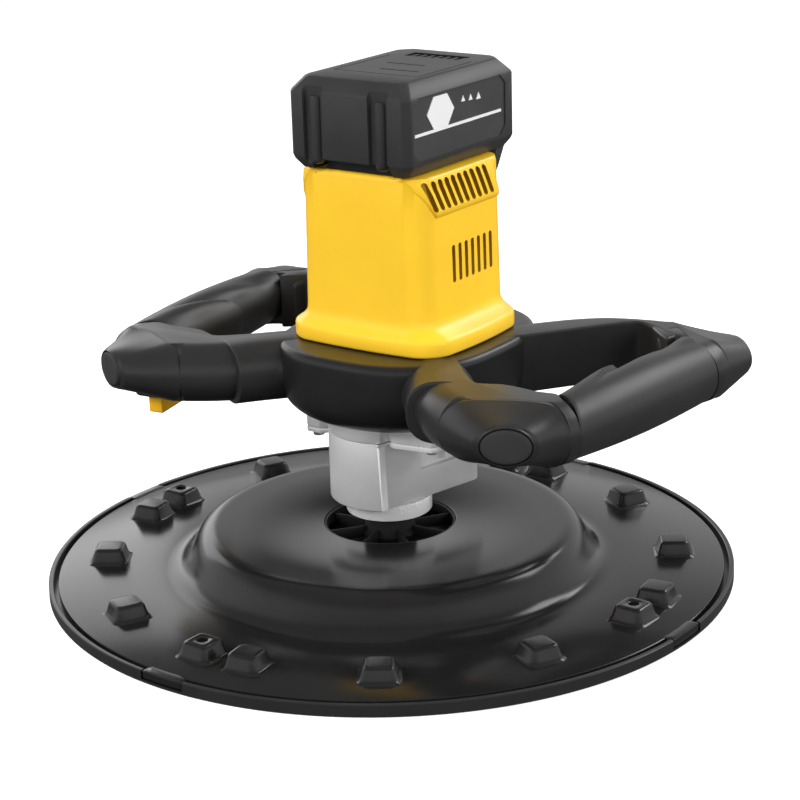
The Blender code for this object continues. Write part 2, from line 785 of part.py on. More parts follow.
def make_battery_base(finish):
    """Underside of the pack, with the channel for the rail and a skirt behind the hood."""
    high = PACK_SPLIT - GAP
    rings = [pack_ring(0.0062, 0.2408, 0.003), pack_ring(0.0002, 0.2470, 0.0063), pack_ring(0.0, high)]
    base = loft("battery_base", rings, finish)
    channel = box("rail_channel", (-0.0265, -0.0400, 0.2433), (0.0265, 0.0620, 0.2474), None)
    throat = box("rail_throat", (-0.0225, -0.0400, 0.2300), (0.0225, 0.0620, 0.2440), None)
    skirt = loft("pack_skirt", skirt_rings(), None)
    boolean(base, make_cutter(channel))
    boolean(base, make_cutter(throat))
    boolean(base, make_cutter(skirt), "UNION")
    slot = box("button_slot", (-0.0123, 0.0740, 0.2360), (0.0123, 0.0850, 0.2600), None)
    return boolean(base, make_cutter(slot))


def skirt_rings():
    profile = [(0.0685, 0.2440), (0.0785, 0.2440), (0.0775, 0.2400), (0.0710, 0.2290), (0.0685, 0.2270)]
    return [[(x, y, z) for y, z in profile] for x in (-0.0330, 0.0330)]


def make_battery_button(finish):
    """Release button at the back of the pack, with ribs for the thumb. It slides up."""
    button = box("battery_button", (-0.0119, 0.0745, 0.2385), (0.0119, 0.0790, 0.2590), finish)
    heights = [0.2420 + 0.0034 * k for k in range(4)]
    ribs = [((-0.0085, 0.0788, z), (0.0085, 0.0797, z + 0.0016), 0) for z in heights]
    return boolean(button, make_cutter(boxes("button_ribs", ribs, None)), "UNION")


def make_cells(finish):
    for row, height in enumerate((0.2606, 0.2796)):
        for column in range(5):
            y = 0.0259 + 0.0192 * (column - 2)
            name = f"cell_{row * 5 + column + 1:02d}"
            bm = bmesh.new()
            frame = Matrix.Translation((0, y, height)) @ Matrix.Rotation(math.pi / 2, 4, "Y")
            bmesh.ops.create_cone(
                bm, cap_ends=True, segments=16, radius1=0.0091, radius2=0.0091, depth=0.065, matrix=frame
            )
            add_part(name, mesh_from(bm, name), finish)


def make_pack_board(finish):
    return box("battery_board", (-0.030, -0.020, 0.2490), (0.030, 0.060, 0.2505), finish)


# Handles ----------------------------------------------------------------------------


def along_grip(distance):
    """A point on the right grip's axis, measured from its middle towards +Y."""
    x = GRIP_MIDDLE[0] + distance * math.sin(GRIP_ANGLE)
    y = GRIP_MIDDLE[1] + distance * math.cos(GRIP_ANGLE)
    return (x, y, GRIP_MIDDLE[2])


def section(centre, heading, half_width, half_height, power=2.6, count=20):
    """A ring across a path in plan that runs along the heading, in degrees from +X."""
    side = Vector((-math.sin(math.radians(heading)), math.cos(math.radians(heading)), 0))
    points = []
    for k in range(count):
        turn = 2 * math.pi * (k + 0.5) / count
        c = math.cos(turn)
        s = math.sin(turn)
        across = half_width * math.copysign(abs(c) ** (2 / power), c)
        up = half_height * math.copysign(abs(s) ** (2 / power), s)
        points.append(tuple(Vector(centre) + side * across + Vector((0, 0, up))))
    return points


def handle_sections():
    """Sections of the right handle, from its front root round the grip to its rear root."""
    heading = 90 - math.degrees(GRIP_ANGLE)
    near = along_grip(-GRIP_HALF)
    far = along_grip(GRIP_HALF)
    return [
        section((0.0420, -0.0070, 0.1205), -40, 0.0190, 0.0180),
        section((0.0560, -0.0200, 0.1210), -42, 0.0190, 0.0182),
        section((0.0800, -0.0430, 0.1220), -38, 0.0180, 0.0188),
        section((0.1060, -0.0590, 0.1225), -12, 0.0175, 0.0188),
        section((0.1300, -0.0560, 0.1230), 42, 0.0178, 0.0178),
        section(near, heading, GRIP_END_RADIUS, GRIP_END_RADIUS, 2.1),
        section(far, heading, GRIP_END_RADIUS, GRIP_END_RADIUS, 2.1),
        section((0.1510, 0.1030, 0.1230), 128, 0.0178, 0.0178),
        section((0.1220, 0.1140, 0.1225), 187, 0.0172, 0.0178),
        section((0.0920, 0.1010, 0.1215), 227, 0.0178, 0.0180),
        section((0.0600, 0.0640, 0.1205), 232, 0.0195, 0.0180),
        section((0.0450, 0.0450, 0.1205), 232, 0.0195, 0.0180),
    ]


def horn_rings(rear):
    """Tapered corner of the right handle, from inside the bend out to the oval cap's seat."""
    sign = 1 if rear else -1
    tip = Vector((0.1650, 0.1190, 0.1240)) if rear else Vector((0.1350, -0.0845, 0.1240))
    foot = Vector((0.1480, 0.0780, 0.1230)) if rear else Vector((0.1220, -0.0480, 0.1230))
    heading = sign * 68.0
    return [
        section(foot, heading, 0.0290, 0.0160, 2.2),
        section(foot.lerp(tip, 0.5), heading, 0.0235, 0.0150, 2.1),
        section(tip, heading, CAP_HALF[0] + 0.0012, CAP_HALF[1] + 0.0012, 2),
    ]


def cap_rings(rear, grow, out, deep):
    sign = 1 if rear else -1
    tip = Vector((0.1650, 0.1190, 0.1240)) if rear else Vector((0.1350, -0.0845, 0.1240))
    heading = sign * 68.0
    along = Vector((math.cos(math.radians(heading)), math.sin(math.radians(heading)), 0))
    half = (CAP_HALF[0] + grow, CAP_HALF[1] + grow)
    return [section(tip + along * step, heading, *half, 2) for step in (-deep, out)]


def to_side(rings, side):
    return rings if side > 0 else [mirrored(points) for points in rings]


def make_handle(name, side, finish):
    frame = loft(f"{name}_handle_frame", to_side(handle_sections(), side), finish)
    for rear in (False, True):
        label = f"{name}_horn_{int(rear)}"
        horn = loft(label, to_side(horn_rings(rear), side), None)
        boolean(frame, make_cutter(horn), "UNION")
    for rear in (False, True):
        seat = loft(f"{name}_cap_seat_{int(rear)}", to_side(cap_rings(rear, GAP, 0.004, 0.0030), side), None)
        boolean(frame, make_cutter(seat))
    space = grip_tube(f"{name}_sleeve_space", side, GRIP_HALF, GRIP_CORE, [0.032] * 2, None)
    boolean(frame, make_cutter(space))
    half = (BODY_HALF[0] + GAP, BODY_HALF[1] + GAP)
    rings = [superellipse(BODY_CENTRE, half, BODY_POWER, z) for z in (0.08, 0.16)]
    boolean(frame, make_cutter(loft(f"{name}_body_face", rings, None)))
    return frame


def make_caps(name, side, finish):
    for rear, label in ((False, "front"), (True, "rear")):
        loft(f"{name}_{label}_end_cap", to_side(cap_rings(rear, 0.0, 0.0, 0.0026), side), finish)


def grip_tube(name, side, half, inner, radii, finish):
    """A tube along the grip's axis, with its outer radius given at even steps."""
    heading = 90 - math.degrees(GRIP_ANGLE)
    rings = []
    for k, radius in enumerate(radii):
        distance = half * (2 * k / (len(radii) - 1) - 1)
        rings.append(section(along_grip(distance), heading, radius, radius, 2.1))
    for distance in (half, -half):
        rings.append(section(along_grip(distance), heading, inner, inner, 2.1))
    return loft(name, to_side(rings, side), finish, closed=True)


def make_sleeve(name, side, finish):
    """Soft grip, thicker at its middle, round the handle's core."""
    radii = [GRIP_END_RADIUS + GRIP_BULGE * math.sin(math.pi * k / 6) for k in range(7)]
    return grip_tube(f"{name}_grip_sleeve", side, GRIP_HALF - GAP, GRIP_BORE, radii, finish)


# Trigger in the left grip ----------------------------------------------------------------


def left_grip_point(x, distance, height):
    """A point in the left grip's own frame: across it, along it from its middle, and up."""
    c = math.cos(GRIP_ANGLE)
    s = math.sin(GRIP_ANGLE)
    return (-GRIP_MIDDLE[0] + x * c - distance * s, GRIP_MIDDLE[1] + x * s + distance * c, height)


def left_grip_prism(name, half_width, profile, finish):
    """A side profile of (distance, height) points, as wide as given across the left grip."""
    rings = [[left_grip_point(x, d, z) for d, z in profile] for x in (-half_width, half_width)]
    return loft(name, rings, finish)


def left_grip_box(name, half_width, start, stop, low, high, finish):
    profile = [(start, low), (stop, low), (stop, high), (start, high)]
    return left_grip_prism(name, half_width, profile, finish)


def left_grip_pin(name, radius, half_length, sides=16):
    """A cylinder across the left grip, on the trigger's hinge."""
    bm = bmesh.new()
    place = Matrix.Translation(left_grip_point(0, *TRIGGER_PIVOT))
    frame = place @ Matrix.Rotation(GRIP_ANGLE, 4, "Z") @ Matrix.Rotation(math.pi / 2, 4, "Y")
    bmesh.ops.create_cone(
        bm, cap_ends=True, segments=sides, radius1=radius, radius2=radius, depth=2 * half_length, matrix=frame
    )
    return make_cutter(add_part(name, mesh_from(bm, name), None))


def make_trigger_group(frame, sleeve, black, yellow, steel):
    pocket = left_grip_box("trigger_pocket", 0.0088, -0.0676, 0.0098, 0.080, 0.1143, None)
    boolean(frame, make_cutter(pocket))
    window = left_grip_box("sleeve_window", 0.0088, -0.0750, 0.0098, 0.080, 0.1125, None)
    boolean(sleeve, make_cutter(window))
    guard = left_grip_box("trigger_guard", 0.0085, -0.0673, 0.0095, 0.0912, 0.1140, black)
    hollow = left_grip_box("guard_hollow", 0.0058, -0.0645, 0.0074, 0.080, 0.1118, None)
    boolean(guard, make_cutter(hollow))
    boolean(guard, left_grip_pin("pin_hole", 0.0019, 0.0077))
    profile = [
        (-0.0604, 0.0828),
        (-0.0596, 0.0820),
        (0.0050, 0.0862),
        (0.0064, 0.0880),
        (0.0064, 0.0970),
        (0.0040, 0.0990),
        (-0.0590, 0.0990),
        (-0.0604, 0.0975),
    ]
    trigger = left_grip_prism("trigger", 0.0048, profile, yellow)
    boolean(trigger, left_grip_pin("trigger_trunnions", 0.0016, 0.0074), "UNION")
    left_grip_box("trigger_switch", 0.0054, -0.0220, 0.0040, 0.1062, 0.1115, black)
    make_trigger_spring(steel)
    return trigger


def make_trigger_spring(finish):
    """Return spring between the trigger and the roof of its guard, as a closed-end coil."""
    turns = 5
    steps = 12
    radius = 0.0030
    low = 0.0990 + GAP + SPRING_WIRE
    high = 0.1118 - GAP - SPRING_WIRE
    curve = bpy.data.curves.new("spring_path", "CURVE")
    curve.dimensions = "3D"
    curve.bevel_depth = SPRING_WIRE
    curve.bevel_resolution = 0
    curve.use_fill_caps = True
    spline = curve.splines.new("POLY")
    spline.points.add(turns * steps)
    for k, point in enumerate(spline.points):
        turn = 2 * math.pi * k / steps
        x, y, z = left_grip_point(
            radius * math.cos(turn),
            SPRING_DISTANCE + radius * math.sin(turn),
            low + (high - low) * k / (turns * steps),
        )
        point.co = (x, y, z, 1)
    path = bpy.data.objects.new("spring_path", curve)
    return settle_curve("trigger_spring", path, finish)


def build():
    global PARTS, TOOLS
    clear_scene()
    PARTS = make_collection("power_trowel")
    TOOLS = make_collection("cutters")
    black = make_finish("black_plastic", (0.016, 0.016, 0.017), 0.42)
    gloss = make_finish("pan_plastic", (0.012, 0.012, 0.013), 0.25)
    yellow = make_finish("yellow_plastic", (0.98, 0.56, 0.02), 0.35)
    rubber = make_finish("soft_grip", (0.020, 0.020, 0.021), 0.5)
    pack = make_finish("battery_plastic", (0.022, 0.022, 0.024), 0.55)
    alloy = make_finish("cast_alloy", (0.78, 0.78, 0.79), 0.3, 1.0)
    steel = make_finish("steel", (0.62, 0.62, 0.63), 0.3, 1.0)
    blade = make_finish("plate_steel", (0.35, 0.35, 0.36), 0.35, 1.0)
    copper = make_finish("motor_copper", (0.6, 0.27, 0.12), 0.4, 1.0)
    board = make_finish("circuit_board", (0.02, 0.16, 0.06), 0.5)
    cell = make_finish("cell_wrap", (0.05, 0.25, 0.45), 0.4)
    contact = make_finish("contact_brass", (0.80, 0.60, 0.25), 0.3, 1.0)
    make_trowel_plate(blade)
    make_float_pan(gloss)
    make_pan_screws(steel)
    make_drive_hub(black)
    make_hub_bolt(steel)
    make_spindle(alloy)
    make_output_gear(steel)
    make_lay_shaft(steel)
    make_lay_gear(steel)
    make_casting(alloy)
    make_cover(alloy)
    make_gearbox_screws(steel)
    make_bearings(steel, rubber)
    make_motor(steel, copper, black)
    make_body_shell(black)
    make_hood(yellow)
    make_controller(board)
    make_shoe(black, contact)
    make_battery_case(pack)
    make_battery_base(pack)
    make_battery_button(black)
    make_cells(cell)
    make_pack_board(board)
    sleeves = {}
    frames = {}
    for name, side in (("left", -1), ("right", 1)):
        frames[name] = make_handle(name, side, black)
        make_caps(name, side, black)
        sleeves[name] = make_sleeve(name, side, rubber)
    make_trigger_group(frames["left"], sleeves["left"], black, yellow, steel)


build()
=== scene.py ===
"""Looks of the battery power trowel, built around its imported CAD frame.

Lengths are in metres, except the ones given to mm() and stations(), which are in millimetres.
"""

from math import acos, atan2, copysign, cos, degrees, pi, radians, sin, sqrt

import bmesh
import bpy
from mathutils import Matrix, Vector


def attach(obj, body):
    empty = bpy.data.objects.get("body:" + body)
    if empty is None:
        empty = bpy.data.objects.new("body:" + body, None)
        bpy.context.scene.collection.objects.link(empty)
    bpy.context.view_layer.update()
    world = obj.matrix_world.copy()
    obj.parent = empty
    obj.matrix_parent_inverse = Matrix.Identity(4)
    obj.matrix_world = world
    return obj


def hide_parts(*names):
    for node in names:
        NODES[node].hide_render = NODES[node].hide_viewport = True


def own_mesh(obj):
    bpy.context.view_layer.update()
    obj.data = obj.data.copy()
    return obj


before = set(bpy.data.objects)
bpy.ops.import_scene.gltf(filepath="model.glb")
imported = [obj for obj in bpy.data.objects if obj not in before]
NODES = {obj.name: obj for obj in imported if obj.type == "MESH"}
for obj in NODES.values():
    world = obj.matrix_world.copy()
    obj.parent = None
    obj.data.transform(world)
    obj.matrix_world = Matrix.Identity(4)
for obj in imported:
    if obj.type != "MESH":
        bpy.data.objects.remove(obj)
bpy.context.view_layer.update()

PAN_RADIUS = 0.1942
PAN_TOP = 0.007
TAB_ANGLES = [radians(-2 + 90 * k) for k in range(4)]
TAB_HALF = radians(4)
STUD_CIRCLE = 0.166
STUD_OFFSETS = [radians(a) for a in (0, 10, 35, 65)]
STUD_TOP = 0.0157
LAYSHAFT = (-0.01622774, 0.01629909)
BODY_CENTRE = (-0.0005, 0.023)
BODY_HALF = (0.067, 0.0735)
HOOD_CENTRE = (-0.0005, 0.022)
HOOD_HALF = (0.0435, 0.043)
GRIP_ANGLE = atan2(0.0105, 0.09)
GRIP_MIDDLE = Vector((0.1505, 0.022, 0.123))
GRIP_RADIUS = 0.0172


def mm(*rows):
    """Rows of lengths that are written in millimetres."""
    return [tuple(length / 1000 for length in row) for row in rows]


def show(made):
    bpy.context.scene.collection.objects.link(made)


# Materials ------------------------------------------------------------------------------


def link(tree, start, output, stop, socket):
    tree.links.new(start.outputs[output], stop.inputs[socket])


def node(tree, kind, **sockets):
    """A node with its sockets' values, in whose names an underscore stands for a space."""
    made = tree.nodes.new(kind)
    for name, value in sockets.items():
        made.inputs[name.replace("_", " ")].default_value = value
    return made


def material(name, colour, roughness, metallic=0.0, grain=900.0, bump=0.05, spread=0.06, tone=0.12):
    """A surface with fine moulded or cast grain, and slow drifts of colour and gloss."""
    made = bpy.data.materials.new(name)
    made.use_nodes = True
    tree = made.node_tree
    shader = tree.nodes["Principled BSDF"]
    shader.inputs["Metallic"].default_value = metallic
    place = tree.nodes.new("ShaderNodeTexCoord")
    slow = node(tree, "ShaderNodeTexNoise", Scale=38.0, Detail=4.0, Roughness=0.6)
    fine = node(tree, "ShaderNodeTexNoise", Scale=grain, Detail=3.0, Roughness=0.55)
    link(tree, place, "Object", slow, "Vector")
    link(tree, place, "Object", fine, "Vector")
    ramp = tree.nodes.new("ShaderNodeValToRGB")
    dark, light = ramp.color_ramp.elements
    dark.position = 0.3
    light.position = 0.72
    dark.color = (*[c * (1 - tone) for c in colour], 1)
    light.color = (*[min(1, c * (1 + tone)) for c in colour], 1)
    link(tree, slow, "Fac", ramp, "Fac")
    link(tree, ramp, "Color", shader, "Base Color")
    gloss = node(tree, "ShaderNodeMapRange", To_Min=roughness - spread, To_Max=roughness + spread)
    link(tree, slow, "Fac", gloss, "Value")
    link(tree, gloss, "Result", shader, "Roughness")
    relief = node(tree, "ShaderNodeBump", Strength=bump, Distance=0.0004)
    link(tree, fine, "Fac", relief, "Height")
    link(tree, relief, "Normal", shader, "Normal")
    return made


BLACK = material("body_black", (0.012, 0.012, 0.0125), 0.33, grain=1100, bump=0.08)
HANDLE = material("handle_black", (0.02, 0.02, 0.0205), 0.34, grain=1300, bump=0.08)
GRIP = material("grip_rubber", (0.022, 0.022, 0.0225), 0.42, grain=1500, bump=0.12)
CAP = material("cap_black", (0.03, 0.03, 0.031), 0.55, grain=1500, bump=0.1)
PAN = material("pan_black", (0.011, 0.011, 0.0115), 0.2, grain=420, bump=0.03, spread=0.02)
YELLOW = material("hood_yellow", (1.0, 0.6, 0.03), 0.3, grain=1400, bump=0.06, tone=0.03)
DEEP_YELLOW = material("trigger_yellow", (0.95, 0.5, 0.012), 0.38, grain=1400, bump=0.06, tone=0.03)
PACK = material("pack_black", (0.03, 0.03, 0.0305), 0.46, grain=1600, bump=0.16)
PACK_GREY = material("pack_label_grey", (0.045, 0.045, 0.046), 0.45, grain=1800, bump=0.05)
WHITE = material("label_white", (0.8, 0.8, 0.8), 0.45, grain=1800, bump=0.03, tone=0.02)
VENT = material("vent_shadow", (0.36, 0.2, 0.012), 0.6, grain=900, bump=0.1)
# Near-black painted shade for recesses: the hub's hole, and the battery's channel, pockets, notches, grille
# and two top grooves.
PAINTED_SHADE = material("recess_painted_shade", (0.004, 0.004, 0.004), 0.6, grain=900, bump=0.1)
ALLOY = material("cast_alloy", (0.8, 0.8, 0.81), 0.34, 0.45, grain=700, bump=0.06, tone=0.04)
BRIGHT = material("machined_alloy", (0.95, 0.95, 0.95), 0.28, 0.2, grain=700, bump=0.02, tone=0.04)
STEEL = material("steel", (0.56, 0.56, 0.57), 0.3, 1.0, grain=600, bump=0.05)
PLATE = material("plate_steel", (0.03, 0.03, 0.031), 0.3, 0.3, grain=500, bump=0.05)
COPPER = material("winding_copper", (0.55, 0.22, 0.09), 0.4, 1.0, grain=1200, bump=0.25)
BOARD = material("circuit_board", (0.015, 0.11, 0.04), 0.42, grain=700, bump=0.1)
WRAP = material("cell_wrap", (0.04, 0.2, 0.36), 0.38, grain=300, bump=0.02)
BRASS = material("contact_brass", (0.75, 0.52, 0.2), 0.28, 1.0, grain=900, bump=0.04)


# Mesh tools -----------------------------------------------------------------------------


def shade(mesh, angle=35):
    """Smooth shading, with sharp edges where the faces turn by more than the angle in degrees."""
    mesh.shade_smooth()
    mesh.set_sharp_from_angle(angle=radians(angle))


def finish_mesh(name, bm, surface, angle=35):
    bmesh.ops.recalc_face_normals(bm, faces=bm.faces)
    mesh = bpy.data.meshes.new(name)
    bm.to_mesh(mesh)
    bm.free()
    mesh.materials.append(surface)
    shade(mesh, angle)
    made = bpy.data.objects.new(name, mesh)
    show(made)
    return made


def loft(name, rings, surface, closed=False, caps=(True, True), angle=35):
    """A skin through rings of equal point count."""
    bm = bmesh.new()
    rows = [[bm.verts.new(point) for point in points] for points in rings]
    pairs = list(zip(rows, rows[1:]))
    if closed:
        pairs.append((rows[-1], rows[0]))
    count = len(rows[0])
    for first, second in pairs:
        for k in range(count):
            after = (k + 1) % count
            bm.faces.new((first[k], first[after], second[after], second[k]))
    if not closed:
        if caps[0]:
            bm.faces.new(rows[0])
        if caps[1]:
            bm.faces.new(rows[-1])
    return finish_mesh(name, bm, surface, angle)


def circle(centre, radius, count, start=0.0, stop=2 * pi, whole=True):
    """Points round a circle, or along an arc with a point at each end where it isn't whole."""
    steps = count if whole else count - 1
    turns = [start + (stop - start) * k / steps for k in range(count)]
    return [(centre[0] + radius * cos(t), centre[1] + radius * sin(t)) for t in turns]


def lathe(name, profile, surface, steps, centre=(0, 0), angle=35):
    """A turned piece through (radius, height) points. It closes on itself where it misses the axis."""
    rings = [[(x, y, z) for x, y in circle(centre, max(r, 0.00001), steps)] for r, z in profile]
    hollow = min(r for r, _ in profile) > 0
    return loft(name, rings, surface, closed=hollow, angle=angle)


def prism(name, outline, low, high, surface, round_by=0.0, segments=2):
    """An outline given its thickness, with its edges rounded."""
    made = loft(name, [[(x, y, z) for x, y in outline] for z in (low, high)], surface)
    return soften(made, round_by, segments) if round_by else made


def apply_steps(part):
    """Turns the piece's modifiers into its mesh."""
    bpy.context.view_layer.update()
    graph = bpy.context.evaluated_depsgraph_get()
    mesh = bpy.data.meshes.new_from_object(part.evaluated_get(graph))
    old = part.data
    part.modifiers.clear()
    part.data = mesh
    bpy.data.meshes.remove(old)
    return part


def soften(part, width, segments=2, angle=30):
    """Rounds every edge that turns by more than the angle in degrees."""
    step = part.modifiers.new("Edges", "BEVEL")
    step.width = width
    step.segments = segments
    step.limit_method = "ANGLE"
    step.angle_limit = radians(angle)
    step.use_clamp_overlap = True
    step.harden_normals = False
    apply_steps(part)
    shade(part.data)
    return part


def combine(part, others, operation="DIFFERENCE", angle=35):
    """Cuts the other pieces out of this one, or adds them to it, and removes them."""
    for other in others:
        step = part.modifiers.new("Cut", "BOOLEAN")
        step.operation = operation
        step.object = other
        step.material_mode = "TRANSFER" if operation == "DIFFERENCE" else "INDEX"
    apply_steps(part)
    for other in others:
        bpy.data.objects.remove(other)
    shade(part.data, angle)


def join(parts):
    """Makes one object of several, keeping each one's surface."""
    first = parts[0]
    bm = bmesh.new()
    surfaces = []
    for part in parts:
        mesh = part.data.copy()
        mesh.transform(part.matrix_world)
        shift = []
        for surface in part.data.materials:
            if surface not in surfaces:
                surfaces.append(surface)
            shift.append(surfaces.index(surface))
        for face in mesh.polygons:
            face.material_index = shift[min(face.material_index, len(shift) - 1)]
        bm.from_mesh(mesh)
        bpy.data.meshes.remove(mesh)
    mesh = bpy.data.meshes.new(first.name)
    bm.to_mesh(mesh)
    bm.free()
    for surface in surfaces:
        mesh.materials.append(surface)
    first.data = mesh
    first.matrix_world = Matrix.Identity(4)
    for part in parts[1:]:
        bpy.data.objects.remove(part)
    return first


def settle(part, body, slot_name, *nodes):
    """Puts a finished piece on its body and in place of the CAD nodes it shows. The slot name is not used."""
    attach(part, body)
    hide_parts(*nodes)


def box(name, low, high, surface, round_by=0.0, segments=2, turn=None):
    """A block between two corners with rounded edges, turned by a matrix after it is made."""
    bm = bmesh.new()
    size = Vector(high) - Vector(low)
    middle = (Vector(high) + Vector(low)) / 2
    place = Matrix.Translation(middle) @ Matrix.Diagonal((*size, 1))
    if turn:
        place = turn @ place
    bmesh.ops.create_cube(bm, size=1, matrix=place)
    if round_by:
        rounding = {"offset": round_by, "segments": segments, "profile": 0.5}
        bmesh.ops.bevel(bm, geom=bm.edges[:], affect="EDGES", clamp_overlap=True, **rounding)
    return finish_mesh(name, bm, surface)


def smooth_profile(points, steps):
    """A smooth curve through points of any dimension, with several steps between each pair."""
    made = []
    last = len(points) - 1
    for k in range(last):
        near = (points[max(k - 1, 0)], points[k], points[k + 1], points[min(k + 2, last)])
        for j in range(steps):
            t = j / steps
            point = []
            for a, b, c, d in zip(*near):
                square = (2 * a - 5 * b + 4 * c - d) * t * t
                point.append(0.5 * (2 * b + (c - a) * t + square + (3 * b - a - 3 * c + d) * t**3))
            made.append(tuple(point))
    made.append(tuple(points[-1]))
    return made


def superellipse(centre, half, power, height):
    """A level ring between an ellipse (power 2) and a rectangle (a high power)."""
    points = []
    count = 160
    for k in range(count):
        turn = 2 * pi * k / count
        c = cos(turn)
        s = sin(turn)
        x = half[0] * copysign(abs(c) ** (2 / power), c)
        y = half[1] * copysign(abs(s) ** (2 / power), s)
        points.append((centre[0] + x, centre[1] + y, height))
    return points


def rounded_ring(centre, half, radius, height, bow=0.0, arc=12, side=6):
    """A rectangle with round corners in plan, with points along its sides so that they can bow outwards."""
    corners = ((1, 1, 0), (-1, 1, 90), (-1, -1, 180), (1, -1, 270))
    flat = []
    for sx, sy, start in corners:
        for k in range(arc + 1):
            turn = radians(start + 90 * k / arc)
            x = sx * (half[0] - radius) + radius * cos(turn)
            y = sy * (half[1] - radius) + radius * sin(turn)
            flat.append((x, y))
    points = []
    for k, (x, y) in enumerate(flat):
        points.append((x, y))
        if k % (arc + 1) == arc:
            nx, ny = flat[(k + 1) % len(flat)]
            for j in range(1, side):
                points.append((x + (nx - x) * j / side, y + (ny - y) * j / side))
    made = []
    for x, y in points:
        px = x + copysign(bow * max(0.0, 1 - (y / half[1]) ** 2), x) * (abs(x) / half[0])
        py = y + copysign(bow * max(0.0, 1 - (x / half[0]) ** 2), y) * (abs(y) / half[1])
        made.append((centre[0] + px, centre[1] + py, height))
    return made


# Trowel disc ----------------------------------------------------------------------------


def sector(name, angle, half_angle, inner, outer, low, high):
    """A block between two radii, as wide as twice the half angle."""
    outside = circle((0, 0), outer, 17, angle - half_angle, angle + half_angle, whole=False)
    inside = circle((0, 0), inner, 17, angle + half_angle, angle - half_angle, whole=False)
    return prism(name, outside + inside, low, high, PAN)


def make_plate():
    """The steel disc with its turned-up rim, and a gap in the rim for each of the pan's tabs."""
    profile = mm(
        (0, 1.5), (197.1, 1.5), (197.1, 6.8), (197.6, 7.3), (199.4, 7.3), (199.9, 6.8), (200, 1),
        (199, 0), (0, 0),
    )
    plate = lathe("plate", profile, PLATE, steps=256)
    gaps = []
    for k, angle in enumerate(TAB_ANGLES):
        gaps.append(sector(f"gap_{k}", angle, TAB_HALF + 0.002, PAN_RADIUS, 0.202, 0.0022, 0.012))
    combine(plate, gaps)
    settle(plate, "trowel", "plate_steel", "trowel_plate")


def stud_rings():
    """Rounded squares from the flat ring up a fillet, a sloping side and a rounded shoulder."""
    half_top = 0.0072
    half_foot = 0.0104
    rows = [
        (half_foot + 0.0022, PAN_TOP - 0.0003, 0.005),
        (half_foot + 0.001, PAN_TOP + 0.0002, 0.0045),
        (half_foot + 0.0002, PAN_TOP + 0.0009, 0.0042),
        (half_foot - 0.0006, PAN_TOP + 0.0022, 0.004),
        (half_top + 0.0012, STUD_TOP - 0.0018, 0.0032),
        (half_top + 0.0007, STUD_TOP - 0.0007, 0.003),
        (half_top - 0.0002, STUD_TOP - 0.0001, 0.0026),
        (half_top - 0.0012, STUD_TOP, 0.0022),
    ]
    return [rounded_ring((0, 0), (half, half), corner, z, arc=5, side=2) for half, z, corner in rows]


def make_stud(name, angle, holed):
    rings = stud_rings()
    if holed:
        turns = [atan2(y, x) for x, y, _ in rings[0]]
        for radius, z in ((0.0036, STUD_TOP), (0.0031, 0.0153), (0.0031, 0.0126)):
            rings.append([(radius * cos(t), radius * sin(t), z) for t in turns])
    place = Matrix.Rotation(angle, 4, "Z") @ Matrix.Translation((STUD_CIRCLE, 0, 0))
    rings = [[place @ Vector(p) for p in points] for points in rings]
    return loft(name, rings, PAN, caps=(False, not holed), angle=50)


def make_pan():
    """The plastic pan: its dome, its flat ring, the tabs in the rim's gaps and the studs."""
    top = [(0.0385, 0.029), (0.0387, 0.0297), (0.0394, 0.03)]
    shoulder = mm(
        (90, 30), (98, 30), (103, 29.9), (106.5, 29.2), (110, 27.2), (113.2, 23.2), (116.5, 17),
        (119.5, 12), (123, 8.8), (127, 7.4),
    )
    shoulder += [(0.132, PAN_TOP)]
    edge = [(0.1934, PAN_TOP), (0.1941, 0.0066), (PAN_RADIUS, 0.0019), (0.1938, 0.0018), (0.122, 0.0018)]
    below = [(0.115, 0.01), (0.109, 0.0225), (0.103, 0.0268), (0.0385, 0.0268)]
    pan = lathe("pan", top + smooth_profile(shoulder, 4) + edge + below, PAN, steps=256, angle=50)
    pieces = [pan]
    for k, angle in enumerate(TAB_ANGLES):
        tab = sector(f"tab_{k}", angle, TAB_HALF - 0.0012, 0.1925, 0.1994, 0.0028, 0.0071)
        pieces.append(soften(tab, 0.0004))
        for j, offset in enumerate(STUD_OFFSETS):
            pieces.append(make_stud(f"stud_{k}_{j}", angle + offset, j == 0))
    settle(join(pieces), "trowel", "pan_plastic", "float_pan")


def make_hub():
    """The spoked hub in the dome's hole: ring, boss, spokes, blocks between them, floor and flange."""
    ring = mm((38.2, 29.4), (38.4, 29), (38.4, 23.2), (37.1, 23.2), (37.1, 29), (37.4, 29.4))
    pieces = [lathe("hub", ring, CAP, steps=128)]
    boss = mm((7.8, 37.3), (13.4, 37.3), (13.9, 36.8), (14.8, 26), (16.5, 23.6), (16.5, 1.9), (7.8, 1.9))
    # The boss, floor and flange are near-black, as painted shade inside the dome's hole.
    pieces.append(lathe("hub_boss", boss, PAINTED_SHADE, steps=96))
    for k in range(8):
        for label, start, low, high, round_by in (
            ("rib", 8, (0.013, -0.00045, 0.0212), (0.0376, 0.00045, 0.0282), 0.0003),
            ("block", 26, (0.0225, -0.004, 0.02), (0.0262, 0.004, 0.0226), 0.0006),
        ):
            turn = Matrix.Rotation(radians(start + 45 * k), 4, "Z")
            pieces.append(box(f"{label}_{k}", low, high, BLACK, round_by, turn=turn))
    # Painted shade: the floor and flange are near-black like the boss.
    floor = mm((15, 20), (37.2, 20), (37.2, 19), (15, 19))
    pieces.append(lathe("hub_floor", floor, PAINTED_SHADE, steps=96))
    flange = mm((38.5, 26.2), (52, 26.2), (52, 23.2), (38.5, 23.2))
    pieces.append(lathe("hub_flange", flange, PAINTED_SHADE, steps=96))
    settle(join(pieces), "trowel", "black_plastic", "drive_hub")


